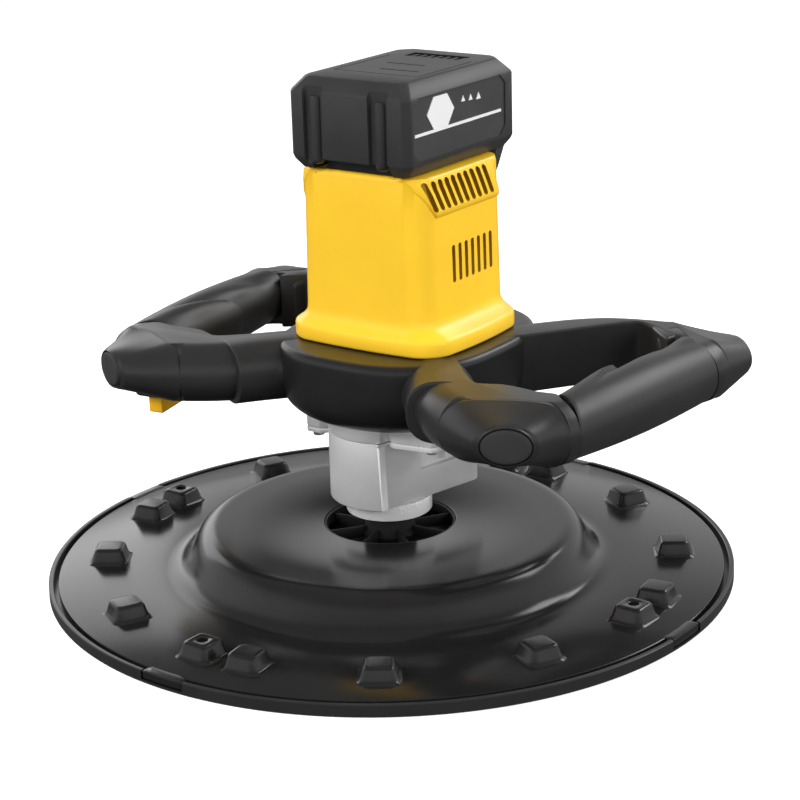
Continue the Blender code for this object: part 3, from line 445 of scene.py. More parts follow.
def make_spindle():
    profile = mm((0, 86.5), (7, 86.5), (7.5, 86), (7.5, 46.7), (24.3, 46.7), (25, 46.1), (25, 38.4))
    profile += mm((24.6, 37.8), (22.5, 37.6), (7.5, 37.6), (7.5, 12.4), (0, 12.4))
    settle(lathe("spindle", profile, BRIGHT, steps=128), "trowel", "cast_alloy", "output_spindle")


# Gearbox casting ------------------------------------------------------------------------


FLAT_DISTANCE = 0.023
FLAT_HEADING = radians(-14)
LUGS = (
    mm((17, -23.5), (21.5, -25), (45, -21.5), (47.5, -19), (47.5, -12), (30, 1), (18, 1)),
    mm((-40.5, -12), (-40.5, -23), (-38.5, -25), (-30, -25), (-22, -18), (-26, 0)),
    mm((22, 35), (30, 33), (47, 53), (47, 64), (43, 67), (35, 67), (12, 48)),
    mm((-30, 30), (-12, 48), (-32, 67), (-43, 67), (-46, 64), (-46, 53)),
)
SCREWS = mm((40.5, -14), (-35, -19), (40, 59), (-39, 59))


def hull_outline(inset):
    """The casting in plan: a round nose with a flat side, and a longer bulge towards the back."""
    nose_radius = 0.034 - inset
    turn = FLAT_HEADING - acos((FLAT_DISTANCE - inset) / nose_radius)
    nose = circle((0, 0), nose_radius, 49, turn, radians(-177.5), whole=False)
    bulge = circle(LAYSHAFT, 0.0185 - inset, 5, radians(182.5), radians(174), whole=False)
    left = circle((-0.018, 0.035), 0.0167 - inset, 17, radians(174), radians(92), whole=False)
    right = circle((0.0276, 0.042), 0.0055 - inset, 13, radians(88), FLAT_HEADING, whole=False)
    return nose + bulge + left + right


def flat_point(along, out, height):
    """A point by the casting's flat side: along it towards the back, outwards from it, and up."""
    normal = Vector((cos(FLAT_HEADING), sin(FLAT_HEADING), 0))
    run = Vector((-normal.y, normal.x, 0))
    return normal * (FLAT_DISTANCE + out) + run * along + Vector((0, 0, height))


def flat_block(name, start, stop, inner, outer, low, high, surface, round_by=0.0):
    corners = [flat_point(a, o, 0) for a, o in ((start, inner), (start, outer), (stop, outer), (stop, inner))]
    outline = [(p.x, p.y) for p in corners]
    return prism(name, outline, low, high, surface, round_by)


def gearbox_lugs(name, low, high, round_by):
    """The four screw lugs, of which the first has a machined face."""
    surfaces = (BRIGHT, ALLOY, ALLOY, ALLOY)
    return [prism(f"{name}_{k}", LUGS[k], low, high, surfaces[k], round_by) for k in range(4)]


def make_casting():
    rings = []
    for inset, z in mm((1.2, 47), (0.3, 47.3), (0, 48), (0, 88)):
        rings.append([(x, y, z) for x, y in hull_outline(inset)])
    hull = loft("casting", rings, ALLOY)
    combine(hull, [flat_block("notch", 0.0058, 0.033, -0.0045, 0.01, 0.0645, 0.09, ALLOY)])
    soften(hull, 0.0004, 2, 35)
    pieces = [hull]
    strip = []
    for z, start, stop in ((0.0476, -0.025, -0.0207), (0.088, -0.0267, -0.022)):
        corners = ((start, -0.001), (start, 0.0006), (stop, 0.0005), (stop, -0.001))
        strip.append([flat_point(a, o, z) for a, o in corners])
    pieces.append(soften(loft("strip", strip, BRIGHT), 0.0002))
    pieces.append(flat_block("strip_root", -0.028, -0.016, -0.002, 0.0012, 0.0868, 0.088, ALLOY, 0.0003))
    pieces.append(flat_block("pad", 0.0235, 0.033, -0.006, 0.0002, 0.0668, 0.088, BRIGHT, 0.0005))
    pieces += gearbox_lugs("lug", 0.085, 0.088, 0.0006)
    head = mm((0, 83.5), (1.4, 83.5), (1.6, 82.2), (3, 82.2), (3.4, 82.6), (3.4, 84.9), (0, 84.9))
    for k, place in enumerate(SCREWS):
        settle(lathe(f"screw_{k + 1}", head, STEEL, 48, place), "housing", "steel", f"gearbox_screw_{k + 1}")
    settle(join(pieces), "housing", "cast_alloy", "gearbox_casting")
    cover = [prism("cover", hull_outline(-0.0003), 0.0883, 0.0965, ALLOY, 0.0003)]
    cover += gearbox_lugs("cover_lug", 0.0883, 0.0965, 0.0008)
    settle(join(cover), "housing", "cast_alloy", "gearbox_cover")


# Housing --------------------------------------------------------------------------------


def body_ring(inset, height, power):
    return superellipse(BODY_CENTRE, (BODY_HALF[0] - inset, BODY_HALF[1] - inset), power, height)


def make_body():
    steps = [
        (0.03, 0.0958, 2.2), (0.019, 0.0961, 2.2), (0.013, 0.0972, 2.25), (0.008, 0.0997, 2.3),
        (0.0045, 0.103, 2.35), (0.0022, 0.107, 2.42), (0.0009, 0.1118, 2.5), (0.0002, 0.117, 2.58),
        (0.0, 0.123, 2.6), (0.0, 0.134, 2.6), (0.0004, 0.1368, 2.6), (0.0014, 0.1387, 2.6),
        (0.003, 0.1397, 2.6), (0.005, 0.14, 2.6),
    ]
    rings = [body_ring(inset, z, power) for inset, z, power in smooth_profile(steps, 3)]
    rings += [superellipse(HOOD_CENTRE, (0.0385, 0.0405), 4, z) for z in (0.14, 0.137)]
    body = loft("body", rings, BLACK, caps=(True, False), angle=40)
    settle(body, "housing", "black_plastic", "body_shell")


def hood_ring(wider, height, bow, deeper, corner):
    return rounded_ring(HOOD_CENTRE, (HOOD_HALF[0] + wider, HOOD_HALF[1] + deeper), corner, height, bow)


CORNER_START = 0.0302
CORNER_RADIUS = 0.0128
BULGE_TOP = 0.2387
BULGE_CREST = 0.2205
BULGE_WALL = 0.0422
BULGE_LEAN = 0.4
# How many slots, the first one's y and their spacing, then what tilted_slot asks for after y.
SLOT_ROWS = {
    "low": (7, 0.0085, 0.0063, 0.177, 0.1985, 0.0016, 0.0, 0.0, 0.043, 0.0014),
    "high": (10, -0.0082, 0.0062, 0.2205, 0.2378, 0.002, -0.1, -BULGE_LEAN, 0.0448, 0.0034),
}


def corner_drop(y):
    """How far the hood's side has fallen away at a place along it, where its round corners begin."""
    past = max(0.0, abs(y - HOOD_CENTRE[1]) - CORNER_START)
    return CORNER_RADIUS - sqrt(max(0.0, CORNER_RADIUS**2 - past**2))


def make_bulge(name, side):
    """Raised louvre panel high on one side. Its ends slant, and its top leans into the wall."""
    profile = mm(
        (38, 216.5), (42.4, 216.5), (43.8, 217), (44.7, 218.2), (45, 220.5), (44, 230), (43, 237.2),
        (42.2, 238.7), (38, 238.7),
    )
    ends = [(-0.0135 + 0.005 * k / 12, ease(k, -2, 12)) for k in range(13)]
    ends += [(0.045, 1.0), (0.05, 1.0), (0.0545, 0.95), (0.0565, 0.7), (0.058, 0.05)]
    rows = []
    for y, reach in ends:
        row = []
        for x, z in profile:
            out = BULGE_WALL + (x - BULGE_WALL) * reach if x > BULGE_WALL else x
            height = BULGE_TOP - (BULGE_TOP - z) * (0.25 + 0.75 * reach if y < 0 else 1)
            along = y - BULGE_LEAN * (height - BULGE_CREST)
            row.append((HOOD_CENTRE[0] + side * (out - corner_drop(along)), along, height))
        rows.append(row)
    return loft(name, rows, YELLOW, angle=40)


def tilted_slot(name, side, y, low, high, half, lean_x, lean_y, wall, depth):
    """A vent slot through one side of the hood, leaning with the surface and along it."""
    rings = []
    for out in (-depth, depth):
        ring_points = []
        for k in range(16):
            turn = 2 * pi * k / 16
            along = sin(turn)
            across = half * cos(turn)
            up = copysign((high - low) / 2 - half, along) + half * along
            z = (low + high) / 2 + up
            x = wall + out + lean_x * (z - low)
            ring_points.append((HOOD_CENTRE[0] + side * x, y + across + lean_y * (z - low), z))
        rings.append(ring_points)
    return loft(name, rings, VENT)


def make_hood():
    outside = mm(
        (6.5, 140.3, 2, 3, 14.5), (7.3, 140.9, 2.4, 3.6, 15), (7.6, 142, 2.6, 4, 15),
        (7.6, 147.8, 2.6, 3.8, 15), (7.3, 149.2, 2.4, 3.5, 14.8), (6.4, 150.1, 2, 3, 14.5),
        (3, 152.8, 1.1, 1.6, 13.6), (1, 155, 0.6, 1, 13), (0.2, 156.8, 0.2, 0.8, 13),
        (0, 160, 0, 0.8, 13), (-0.4, 190, -0.4, 0.8, 13), (-0.8, 220, -0.8, 0.6, 12.8),
        (-1, 237, -1, 0.4, 12.6), (-1.4, 238.8, -1.4, 0.4, 12.4), (-2.2, 239.7, -2.2, 0.4, 10),
        (-3.4, 240, -3.4, 0.3, 9.5),
    )
    rings = [hood_ring(-0.0025, 0.1403, 0.0, -0.0025, 0.0085)]
    rings += [hood_ring(wider, z, bow, deeper, corner) for wider, z, deeper, bow, corner in outside]
    hood = loft("hood", rings, YELLOW, caps=(False, True), angle=40)
    bulges = [make_bulge(f"bulge_{side}", side) for side in (-1, 1)]
    hood = close_bottom(hood)
    combine(hood, bulges, "UNION", 40)
    slots = []
    for side in (-1, 1):
        for row, (count, first, spacing, *shape) in SLOT_ROWS.items():
            for k in range(count):
                slots.append(tilted_slot(f"{row}_{side}_{k}", side, first + spacing * k, *shape))
    combine(hood, slots, "DIFFERENCE", 40)
    settle(hood, "housing", "yellow_plastic", "motor_hood")


def close_bottom(part):
    """Fills any open border, so that the piece can be cut."""
    bm = bmesh.new()
    bm.from_mesh(part.data)
    bmesh.ops.holes_fill(bm, edges=[e for e in bm.edges if e.is_boundary], sides=0)
    bmesh.ops.recalc_face_normals(bm, faces=bm.faces)
    bm.to_mesh(part.data)
    bm.free()
    return part


# Battery --------------------------------------------------------------------------------


PACK_X = -0.0008
RIBS = (-0.0237, 0.02)


def pack_outline(inset, cut):
    """The pack in plan: a rectangle whose four corners are cut off and softened."""
    x = 0.0405 - inset
    front = -0.028 + inset
    back = 0.0835 - inset
    small = 0.6 * cut
    softening = 0.0014
    raw = [(x, front + small), (x, back - cut), (x - cut, back), (-x + cut, back)]
    raw += [(-x, back - cut), (-x, front + small), (-x + small, front), (x - small, front)]
    made = []
    count = len(raw)
    for k in range(count):
        corner = Vector(raw[k])
        into = (Vector(raw[k - 1]) - corner).normalized() * softening
        out = (Vector(raw[(k + 1) % count]) - corner).normalized() * softening
        for t in (0.0, 0.25, 0.5, 0.75, 1.0):
            p = corner + into * (1 - t) ** 2 + out * t**2
            made.append((p.x + PACK_X, p.y))
    return made


def make_battery():
    rows = mm(
        (6.2, 241.3, 4), (4.5, 241.2, 4.6), (0.8, 246.2, 6), (0.1, 248, 6.4), (0, 248.4, 6.4),
        (0, 283.7, 6.4), (0.5, 285, 6.4), (5.8, 291.7, 6.8), (7.2, 292.4, 6.6),
    )
    rings = [[(x, y, z) for x, y in pack_outline(inset, cut)] for inset, z, cut in rows]
    case = loft("battery", rings, PACK, angle=25)
    # The channel, the gap under the skirt and the button's pocket leave near-black painted shade on their cut
    # faces.
    cutters = [
        box("channel", (-0.0265, -0.04, 0.238), (0.0265, 0.062, 0.2474), PAINTED_SHADE),
        box("skirt_gap", (-0.05, 0.079, 0.23), (0.05, 0.09, 0.242), PAINTED_SHADE),
        box("button_pocket", (-0.0123, 0.0742, 0.236), (0.0123, 0.088, 0.2636), PAINTED_SHADE, 0.0004),
        label_panel("label_left", -1),
        label_panel("label_right", 1),
    ]
    combine(case, cutters, "DIFFERENCE", 25)
    # Two of the top grooves and the grille's slot leave near-black painted shade on their cut faces; the
    # others keep the pack's own colour.
    top_grooves = []
    for x0, y0, x1, y1, low, surface in (
        (-0.0285, -0.001, 0.0285, 0.0, 0.2918, PACK),
        (-0.0285, 0.0, -0.0275, 0.053, 0.2918, PACK),
        (0.0275, 0.0, 0.0285, 0.053, 0.2918, PACK),
        (-0.006, 0.012, 0.02, 0.0134, 0.2914, PAINTED_SHADE),
        (-0.014, 0.03, 0.012, 0.0314, 0.2914, PAINTED_SHADE),
    ):
        top_grooves.append(box("groove", (x0, y0, low), (x1, y1, 0.294), surface))
    grille = box("grille", (-0.019, 0.0545, 0.2894), (0.019, 0.066, 0.294), PAINTED_SHADE, 0.0004)
    channels = []
    for x in RIBS:
        low = (x - 0.0066, -0.032, 0.24)
        channels.append(box(f"groove_{x}", low, (x + 0.0066, -0.0254, 0.29), PACK, 0.001))
    combine(case, top_grooves + [grille] + channels, "DIFFERENCE", 25)
    # The notches leave near-black painted shade on their cut faces.
    notches = [notch(f"notch_{side}_{k}", side, -0.009 + 0.0215 * k) for side in (-1, 1) for k in range(4)]
    combine(case, notches, "DIFFERENCE", 25)
    pieces = [case]
    for k in range(7):
        x = -0.0162 + 0.0054 * k
        low = (x - 0.0011, 0.0548, 0.289)
        pieces.append(box(f"tooth_{k}", low, (x + 0.0011, 0.0657, 0.2918), PACK, 0.0003))
    rib = mm((244, 2), (245, 3.6), (247.5, 4.2), (280.8, 4.2), (282, 3.8), (282.4, 2.4))
    for x in RIBS:
        rings = [[(px, py, z) for px, py in circle((x, -0.0234), radius, 40)] for z, radius in rib]
        pieces.append(loft(f"rib_{x}", rings, PACK, angle=50))
    for side in (-1, 1):
        x = side * 0.0399 + PACK_X
        low = (x - 0.0002, -0.0205, 0.2632)
        pieces.append(box(f"stripe_{side}", low, (x + 0.0002, 0.0655, 0.2648), WHITE))
        hexagon = []
        for k in range(6):
            turn = radians(60 * k)
            hexagon.append((0.0132 * cos(turn), 0.0104 * sin(turn)))
        rings = [[(x + side * out, 0.0045 + u, 0.2735 + v) for u, v in hexagon] for out in (-0.0002, 0.00025)]
        pieces.append(loft(f"badge_{side}", rings, WHITE))
        for k, (y, z, size) in enumerate(mm((27, 276.5, 2.2), (34.5, 276, 2.2), (42.5, 275.5, 2.6))):
            ring = [[(x + side * out, y + u, z + v) for u, v in triangle(size)] for out in (-0.0002, 0.0002)]
            pieces.append(loft(f"mark_{side}_{k}", ring, WHITE))
    pieces.append(make_skirt())
    settle(join(pieces), "battery", "battery_plastic", "battery_case", "battery_base")


def triangle(size):
    return [(size * cos(radians(a)), size * sin(radians(a))) for a in (90, 210, 330)]


def label_panel(name, side):
    """The shallow recess with cut corners that holds the label, as a cutter."""
    front, low, back, high = -0.0225, 0.25, 0.0695, 0.2842
    cut = 0.005
    outline = [(front + cut, low), (back - cut, low), (back, low + cut), (back, high - cut)]
    outline += [(back - cut, high), (front + cut, high), (front, high - cut), (front, low + cut)]
    depths = (side * PACK_X + 0.0397, 0.043)
    return loft(name, [[(side * x, y, z) for y, z in outline] for x in depths], PACK_GREY)


def notch(name, side, y):
    """A cutter set across the slope between the pack's top and side."""
    middle = Vector((side * 0.038, y, 0.2884))
    lean = Matrix.Rotation(side * radians(51), 4, "Y")
    size = Matrix.Diagonal((0.0085, 0.0044, 0.0018, 1))
    bm = bmesh.new()
    bmesh.ops.create_cube(bm, size=1, matrix=Matrix.Translation(middle) @ lean @ size)
    return finish_mesh(name, bm, PAINTED_SHADE)


def make_skirt():
    """Housing of the latch, hanging behind the hood."""
    profile = mm((69, 246), (78.5, 246), (78.2, 241), (71.2, 229.5), (69.6, 228), (69, 229))
    parts = []
    for places in ((-0.033, -0.0125, -0.01249), (0.01249, 0.0125, 0.033)):
        rings = [[(x, y, z) for y, z in profile] for x in places]
        parts.append(soften(loft("skirt", rings, PACK), 0.0006))
    parts.append(box("skirt_back", (-0.013, 0.069, 0.23), (0.013, 0.0738, 0.246), PACK, 0.0004))
    return join(parts)


def make_button():
    button = box("button", (-0.0118, 0.0746, 0.2386), (0.0118, 0.0788, 0.2588), BLACK, 0.0012, 3)
    ribs = []
    for k in range(4):
        rise = 0.0034 * k
        low = (-0.0085, 0.0782, 0.242 + rise)
        ribs.append(box(f"thumb_rib_{k}", low, (0.0085, 0.0797, 0.2436 + rise), BLACK, 0.0005))
    settle(join([button] + ribs), "release", "black_plastic", "battery_button")


# Handles --------------------------------------------------------------------------------


HANDLE_LEVEL = 0.1227
HANDLE_HALF = 0.0174
CORNER_ROUND = 0.017
EDGE_ROUND = 0.0012
GRIP_HEADING = 90 - degrees(GRIP_ANGLE)
FRONT_SEAM = (-0.0615, -0.55)
REAR_SEAM = (0.0605, -0.28)
FRONT_TIP = Vector((0.135, -0.0845, 0.124))
REAR_TIP = Vector((0.1635, 0.119, 0.124))
CAP_HALF = (0.0138, 0.0098)


def level_direction(heading):
    return Vector((cos(radians(heading)), sin(radians(heading)), 0))


def section(centre, heading, half_width, half_height, power, count=48, slant=0.0):
    """A ring across a path in plan. Slant turns the ring's plane about the vertical."""
    ahead = level_direction(heading)
    across = Vector((-ahead.y, ahead.x, 0))
    points = []
    for k in range(count):
        turn = 2 * pi * (k + 0.5) / count
        c = cos(turn)
        s = sin(turn)
        out = half_width * copysign(abs(c) ** (2 / power), c)
        up = half_height * copysign(abs(s) ** (2 / power), s)
        points.append(Vector(centre) + across * out - ahead * slant * out + Vector((0, 0, up)))
    return points


def along_grip(distance, out=0.0):
    """A point on the right grip's axis, or beside it, from its middle towards the rear."""
    c = cos(GRIP_ANGLE)
    s = sin(GRIP_ANGLE)
    return GRIP_MIDDLE + Vector((distance * s + out * c, distance * c - out * s, 0))


def to_side(rings, side):
    if side > 0:
        return rings
    return [[Vector((-p.x, p.y, p.z)) for p in reversed(points)] for points in rings]


def edge_run(stations, steps=7):
    """A block's side from (x, y, rounding) stations: each point, its inward direction and its rounding."""
    curve = smooth_profile(stations, steps)
    run = []
    for k, (x, y, rounding) in enumerate(curve):
        before = curve[max(k - 1, 0)]
        after = curve[min(k + 1, len(curve) - 1)]
        ahead = Vector((after[0] - before[0], after[1] - before[1])).normalized()
        run.append((Vector((x, y)), Vector((-ahead.y, ahead.x)), max(rounding, 0.0003)))
    return run


def handle_block(name, runs):
    """A flat-topped bar whose edges are rounded by as much as each side asks."""
    rings = []
    levels = 40
    for k in range(levels + 1):
        height = HANDLE_HALF * sin(pi * (k / levels - 0.5))
        row = []
        for place, inward, rounding in runs:
            over = max(0.0, abs(height) - (HANDLE_HALF - rounding))
            inset = rounding - sqrt(max(0.0, rounding**2 - over**2))
            point = place + inward * inset
            row.append(Vector((point.x, point.y, HANDLE_LEVEL + height)))
        rings.append(row)
    return loft(name, rings, HANDLE, angle=12)


class Corner:
    """The pointed corner of a handle: its oval seat at the tip, and the ring where it meets the bars."""

    def __init__(self, tip, heading, depth, reach, curl):
        self.tip = tip
        self.ahead = level_direction(heading)
        self.across = Vector((-self.ahead.y, self.ahead.x, 0))
        self.depth = depth
        self.reach = reach
        self.curl = curl

    def back(self, out):
        """How far behind the tip the ring lies."""
        side = self.curl[0] if out < 0 else self.curl[1]
        return self.depth - side * out**2

    def plan(self, out, extra=0.0):
        """A point of the ring where the corner joins the bars."""
        return self.tip + self.across * out - self.ahead * (self.back(out) + extra)

    def quarter(self, reach, share):
        """Width and height from the top of a ring to its side. Share 0 is the oval, and 1 meets the bars."""
        half, rounding = reach
        points = []
        for j in range(33):
            turn = radians(90 * j / 32)
            bend = radians(90 * max(0.0, (j - 12) / 20))
            wide = (half - rounding) * min(1.0, j / 12) + rounding * sin(bend)
            oval = (CAP_HALF[0] + 0.0012) * sin(turn)
            flat = HANDLE_HALF * cos(bend) * share
            height = (CAP_HALF[1] + 0.0012) * cos(turn) * (1 - share) + flat
            points.append((oval + (wide - oval) * share**0.85, height))
        return points

    def ring(self, share, extra=0.0, shrink=1.0):
        left = self.quarter(self.reach[0], share)
        right = self.quarter(self.reach[1], share)
        loop = right[:-1]
        loop += [(w, -h) for w, h in reversed(right[1:])]
        loop += [(-w, -h) for w, h in left[:-1]]
        loop += [(-w, h) for w, h in reversed(left[1:])]
        level = self.tip.z + (HANDLE_LEVEL - self.tip.z) * share
        points = []
        for wide, high in loop:
            wide *= shrink
            place = self.tip + self.across * wide - self.ahead * (self.back(wide) * share + extra)
            points.append(Vector((place.x, place.y, level + high * shrink)))
        return points

    def skin(self, name):
        """The corner's outside, with the lip round its oval seat."""
        rings = [self.ring(1.0, 0.01, 0.97)]
        rings += [self.ring(1 - k / 12) for k in range(12)]
        lip = mm((1.2, 1), (1, 0.3), (0.5, 0), (0.3, 0.3), (0.2, 2.2))
        rings += [self.oval(grow, back) for grow, back in lip]
        return loft(name, rings, HANDLE, angle=14)

    def oval(self, grow, back):
        """A ring of the seat, in the same order as the corner's other rings."""
        half = (CAP_HALF[0] + grow, CAP_HALF[1] + grow)
        points = []
        for k in range(128):
            turn = 2 * pi * k / 128
            place = self.tip + self.across * half[0] * sin(turn) - self.ahead * back
            points.append(Vector((place.x, place.y, self.tip.z + half[1] * cos(turn))))
        return points

    def cap(self, name, side):
        steps = mm((-0.4, 2), (-0.4, 0.3), (-0.8, -0.1), (-1.6, -0.3), (-4, -0.4))
        rings = [self.oval(grow, back) for grow, back in steps]
        return loft(name, to_side(rings, side), CAP, angle=50)

    def run(self):
        """The hidden ends of the two bars, just inside the corner's ring."""
        count = 9
        low = 0.016 - self.reach[0][0]
        high = self.reach[1][0] - 0.016
        made = []
        for k in range(count):
            place = self.plan(low + (high - low) * k / (count - 1), 0.0015)
            made.append((place.to_2d(), -self.ahead.to_2d(), 0.0003))
        return made


FRONT = Corner(FRONT_TIP, -62.0, 0.0285, ((0.038, 0.02), (0.0325, 0.013)), (0.0, 13.5))
REAR = Corner(REAR_TIP, 62.0, 0.027, ((0.0262, 0.015), (0.046, 0.02)), (5.0, 2.8))


def seam_point(seam, out):
    return along_grip(seam[0] + seam[1] * out, out)


def stations(rounding, *places):
    """Stations of an edge that share one rounding, from places in millimetres."""
    return [(x, y, rounding) for x, y in mm(*places)]


def front_bar(name):
    start = FRONT.plan(-FRONT.reach[0][0])
    stop = FRONT.plan(FRONT.reach[1][0])
    outer = seam_point(FRONT_SEAM, GRIP_RADIUS)
    inner = seam_point(FRONT_SEAM, -GRIP_RADIUS)
    big = CORNER_ROUND
    small = EDGE_ROUND
    out_edge = stations(big, (26, -27), (45, -46), (62, -60), (75, -69.7)) + [(start.x, start.y, big)]
    middle = (stop + outer) / 2
    grip_edge = [(stop.x, stop.y, big), (middle.x + 0.0001, middle.y, big), (outer.x, outer.y, big)]
    in_edge = [(inner.x, inner.y, big), (0.1225, -0.0322, 0.01), (0.115, -0.0352, 0.004)]
    in_edge += stations(small, (104.7, -37.2), (96.5, -40), (89.5, -41.8), (78, -33), (60, -14), (45, 0))
    runs = edge_run(out_edge) + FRONT.run() + edge_run(grip_edge, 4) + edge_run(in_edge)
    return handle_block(name, runs)


def rear_bar(name):
    start = REAR.plan(-REAR.reach[0][0])
    stop = REAR.plan(REAR.reach[1][0])
    outer = seam_point(REAR_SEAM, GRIP_RADIUS)
    inner = seam_point(REAR_SEAM, -GRIP_RADIUS)
    big = CORNER_ROUND
    small = EDGE_ROUND
    middle = (start + outer) / 2
    grip_edge = [(outer.x, outer.y, big), (middle.x + 0.0003, middle.y, big), (start.x, start.y, big)]
    out_edge = [(stop.x, stop.y, big)]
    out_edge += stations(big, (96, 117.5), (80, 110.5), (64, 97.5), (48, 79), (34, 60))
    in_edge = stations(small, (52, 27), (65.5, 45.3), (80, 65.5), (94, 85), (105, 98.5), (111, 101))
    in_edge += [(0.1225, 0.0955, 0.003), (0.131, 0.085, 0.01), (inner.x, inner.y, big)]
    runs = edge_run(grip_edge, 4) + REAR.run() + edge_run(out_edge) + edge_run(in_edge)
    return handle_block(name, runs)


def root_collar(name, stations):
    """Thicker sleeve of the body's own moulding at the root of a bar, ending in a rounded lip."""
    rings = []
    for x, y, heading, wide, high in smooth_profile(stations, 4):
        rings.append(section((x, y, HANDLE_LEVEL), heading, wide, high, 2.5, 64))
    x, y, heading, wide, high = stations[-1]
    for out, trim in ((0.0005, 0.0004), (0.0008, 0.0012)):
        place = Vector((x, y, HANDLE_LEVEL)) + level_direction(heading) * out
        rings.append(section(place, heading, wide - trim, high - trim, 2.5, 64))
    return loft(name, rings, HANDLE, angle=40)


def make_handle(name, side):
    """A handle's frame and end caps. The frame is made as the right one, and mirrored for the left."""
    front = front_bar(f"{name}_front")
    collar = [(0.04, -0.012, -40, 0.02, 0.0177), (0.054, -0.026, -46, 0.02, 0.018)]
    collar += [(0.0655, -0.039, -54, 0.0205, 0.018), (0.074, -0.051, -60, 0.0203, 0.0178)]
    front_parts = [FRONT.skin(f"{name}_front_corner"), root_collar(f"{name}_front_root", collar)]
    rear = rear_bar(f"{name}_rear")
    combine(front, front_parts, "UNION", 12)
    combine(rear, [REAR.skin(f"{name}_rear_corner")], "UNION", 12)
    core = [section(along_grip(d), GRIP_HEADING, 0.0144, 0.0144, 2.1) for d in (-0.066, 0.068)]
    core = loft(f"{name}_core", core, HANDLE)
    ends = (REAR_SEAM[0] + 0.0005, 0.069)
    neck = [section(along_grip(d), GRIP_HEADING, 0.0169, 0.0169, 2, 64, REAR_SEAM[1]) for d in ends]
    neck = loft(f"{name}_neck", neck, HANDLE, angle=40)
    outline = mm((120, 96.5), (130.5, 86.7), (138.5, 80.5), (139.8, 88.5), (149, 86.8), (150, 95))
    outline += mm((140, 105), (122, 104))
    web = prism(f"{name}_web", outline, HANDLE_LEVEL - 0.0168, HANDLE_LEVEL + 0.0172, HANDLE, 0.0014, 3)
    whole = join([front, rear, core, neck, web])
    if side < 0:
        whole.data.transform(Matrix.Scale(-1, 4, (1, 0, 0)))
        whole.data.flip_normals()
    settle(whole, "housing", "black_plastic", f"{name}_handle_frame")
    for corner, label in ((FRONT, "front"), (REAR, "rear")):
        cap = corner.cap(f"{name}_{label}_cap", side)
        settle(cap, "housing", "black_plastic", f"{name}_{label}_end_cap")


def ease(value, low, high):
    """0 below low, 1 above high and a smooth rise between them."""
    share = min(1.0, max(0.0, (value - low) / (high - low)))
    return share * share * (3 - 2 * share)


def thumb_relief(distance, turn):
    """Swelling on the grip's inner side that ends in a lip, with a hollow behind it."""
    height = max(0.0, degrees(turn) - 40) if turn < pi else 0.0
    along = distance + 0.0007 * height
    swell = 0.0042 * ease(along, -0.046, -0.008) * (1 - ease(along, -0.0035, 0.0005))
    hollow = 0.0022 * ease(along, -0.0035, 0.0005) * (1 - ease(along, 0.004, 0.03))
    rise = 0.001 * ease(along, 0.016, 0.04) * (1 - ease(along, 0.04, 0.058))
    weight = max(0.0, cos(turn - radians(18))) ** 2
    return (swell - hollow + rise) * weight


def shoulder(distance, turn):
    """The grip's top inner side squares up to meet the flat rear corner."""
    if turn >= pi / 2:
        return 0.0
    return 0.004 * ease(distance, 0.034, 0.06) * max(0.0, sin(2 * turn))


def make_sleeve(name, side):
    """The soft grip, which runs between its two slanting seams and has rounded ends."""
    rings = []
    count = 90
    points = 64
    for k in range(count + 1):
        t = k / count
        seam = [a + (b - a) * t for a, b in zip(FRONT_SEAM, REAR_SEAM)]
        middle = seam[0] + 0.0003 * (1 - 2 * t)
        base = GRIP_RADIUS + 0.0021 * sin(pi * t)
        base -= 0.0003 * (1 - ease(min(t, 1 - t), 0.0, 0.006))
        row = []
        for j in range(points):
            turn = 2 * pi * (j + 0.5) / points
            radius = base + thumb_relief(middle, turn) + shoulder(middle, turn)
            out = -radius * cos(turn)
            place = along_grip(middle + seam[1] * out, out)
            row.append(Vector((place.x, place.y, GRIP_MIDDLE.z + radius * sin(turn))))
        rings.append(row)
    for seam, inset in ((REAR_SEAM, -0.0006), (FRONT_SEAM, 0.0006)):
        rings.append(section(along_grip(seam[0] + inset), GRIP_HEADING, 0.0148, 0.0148, 2, points, seam[1]))
    sleeve = loft(f"{name}_grip", to_side(rings, side), GRIP, closed=True, angle=50)
    settle(sleeve, "housing", "soft_grip", f"{name}_grip_sleeve")


def left_grip_place():
    return Matrix.Translation((-GRIP_MIDDLE.x, GRIP_MIDDLE.y, 0)) @ Matrix.Rotation(GRIP_ANGLE, 4, "Z")


def move(part, place):
    part.data.transform(place)
    return part


def make_guard():
    """Low rounded lip round the trigger, open underneath."""
    ring = rounded_ring((0.0, -0.0292), (0.01, 0.0396), 0.005, 0.0, arc=8, side=2)
    guard = prism("guard", [(x, y) for x, y, _ in ring], 0.0945, 0.114, BLACK, 0.0018, 4)
    hollow = box("guard_hollow", (-0.0058, -0.0645, 0.08), (0.0058, 0.0074, 0.1118), PAINTED_SHADE, 0.0006)
    combine(guard, [hollow])
    settle(move(guard, left_grip_place()), "housing", "black_plastic", "trigger_guard")


def make_trigger():
    profile = mm(
        (-60.4, 83.2), (-59.6, 82.2), (4.4, 86.2), (6, 88), (6, 97), (4, 98.8), (-59, 98.8),
        (-60.4, 97.5),
    )
    lever = loft("lever", [[(x, d, z) for d, z in profile] for x in (-0.0047, 0.0047)], DEEP_YELLOW)
    soften(lever, 0.0007, 3)
    pin = Matrix.Translation((0, 0.0025, 0.096)) @ Matrix.Rotation(pi / 2, 4, "Y")
    shaft = lathe("lever_pin", mm((0, -7.2), (1.5, -7.2), (1.5, 7.2), (0, 7.2)), DEEP_YELLOW, steps=24)
    settle(move(join([lever, move(shaft, pin)]), left_grip_place()), "trigger", "yellow_plastic", "trigger")


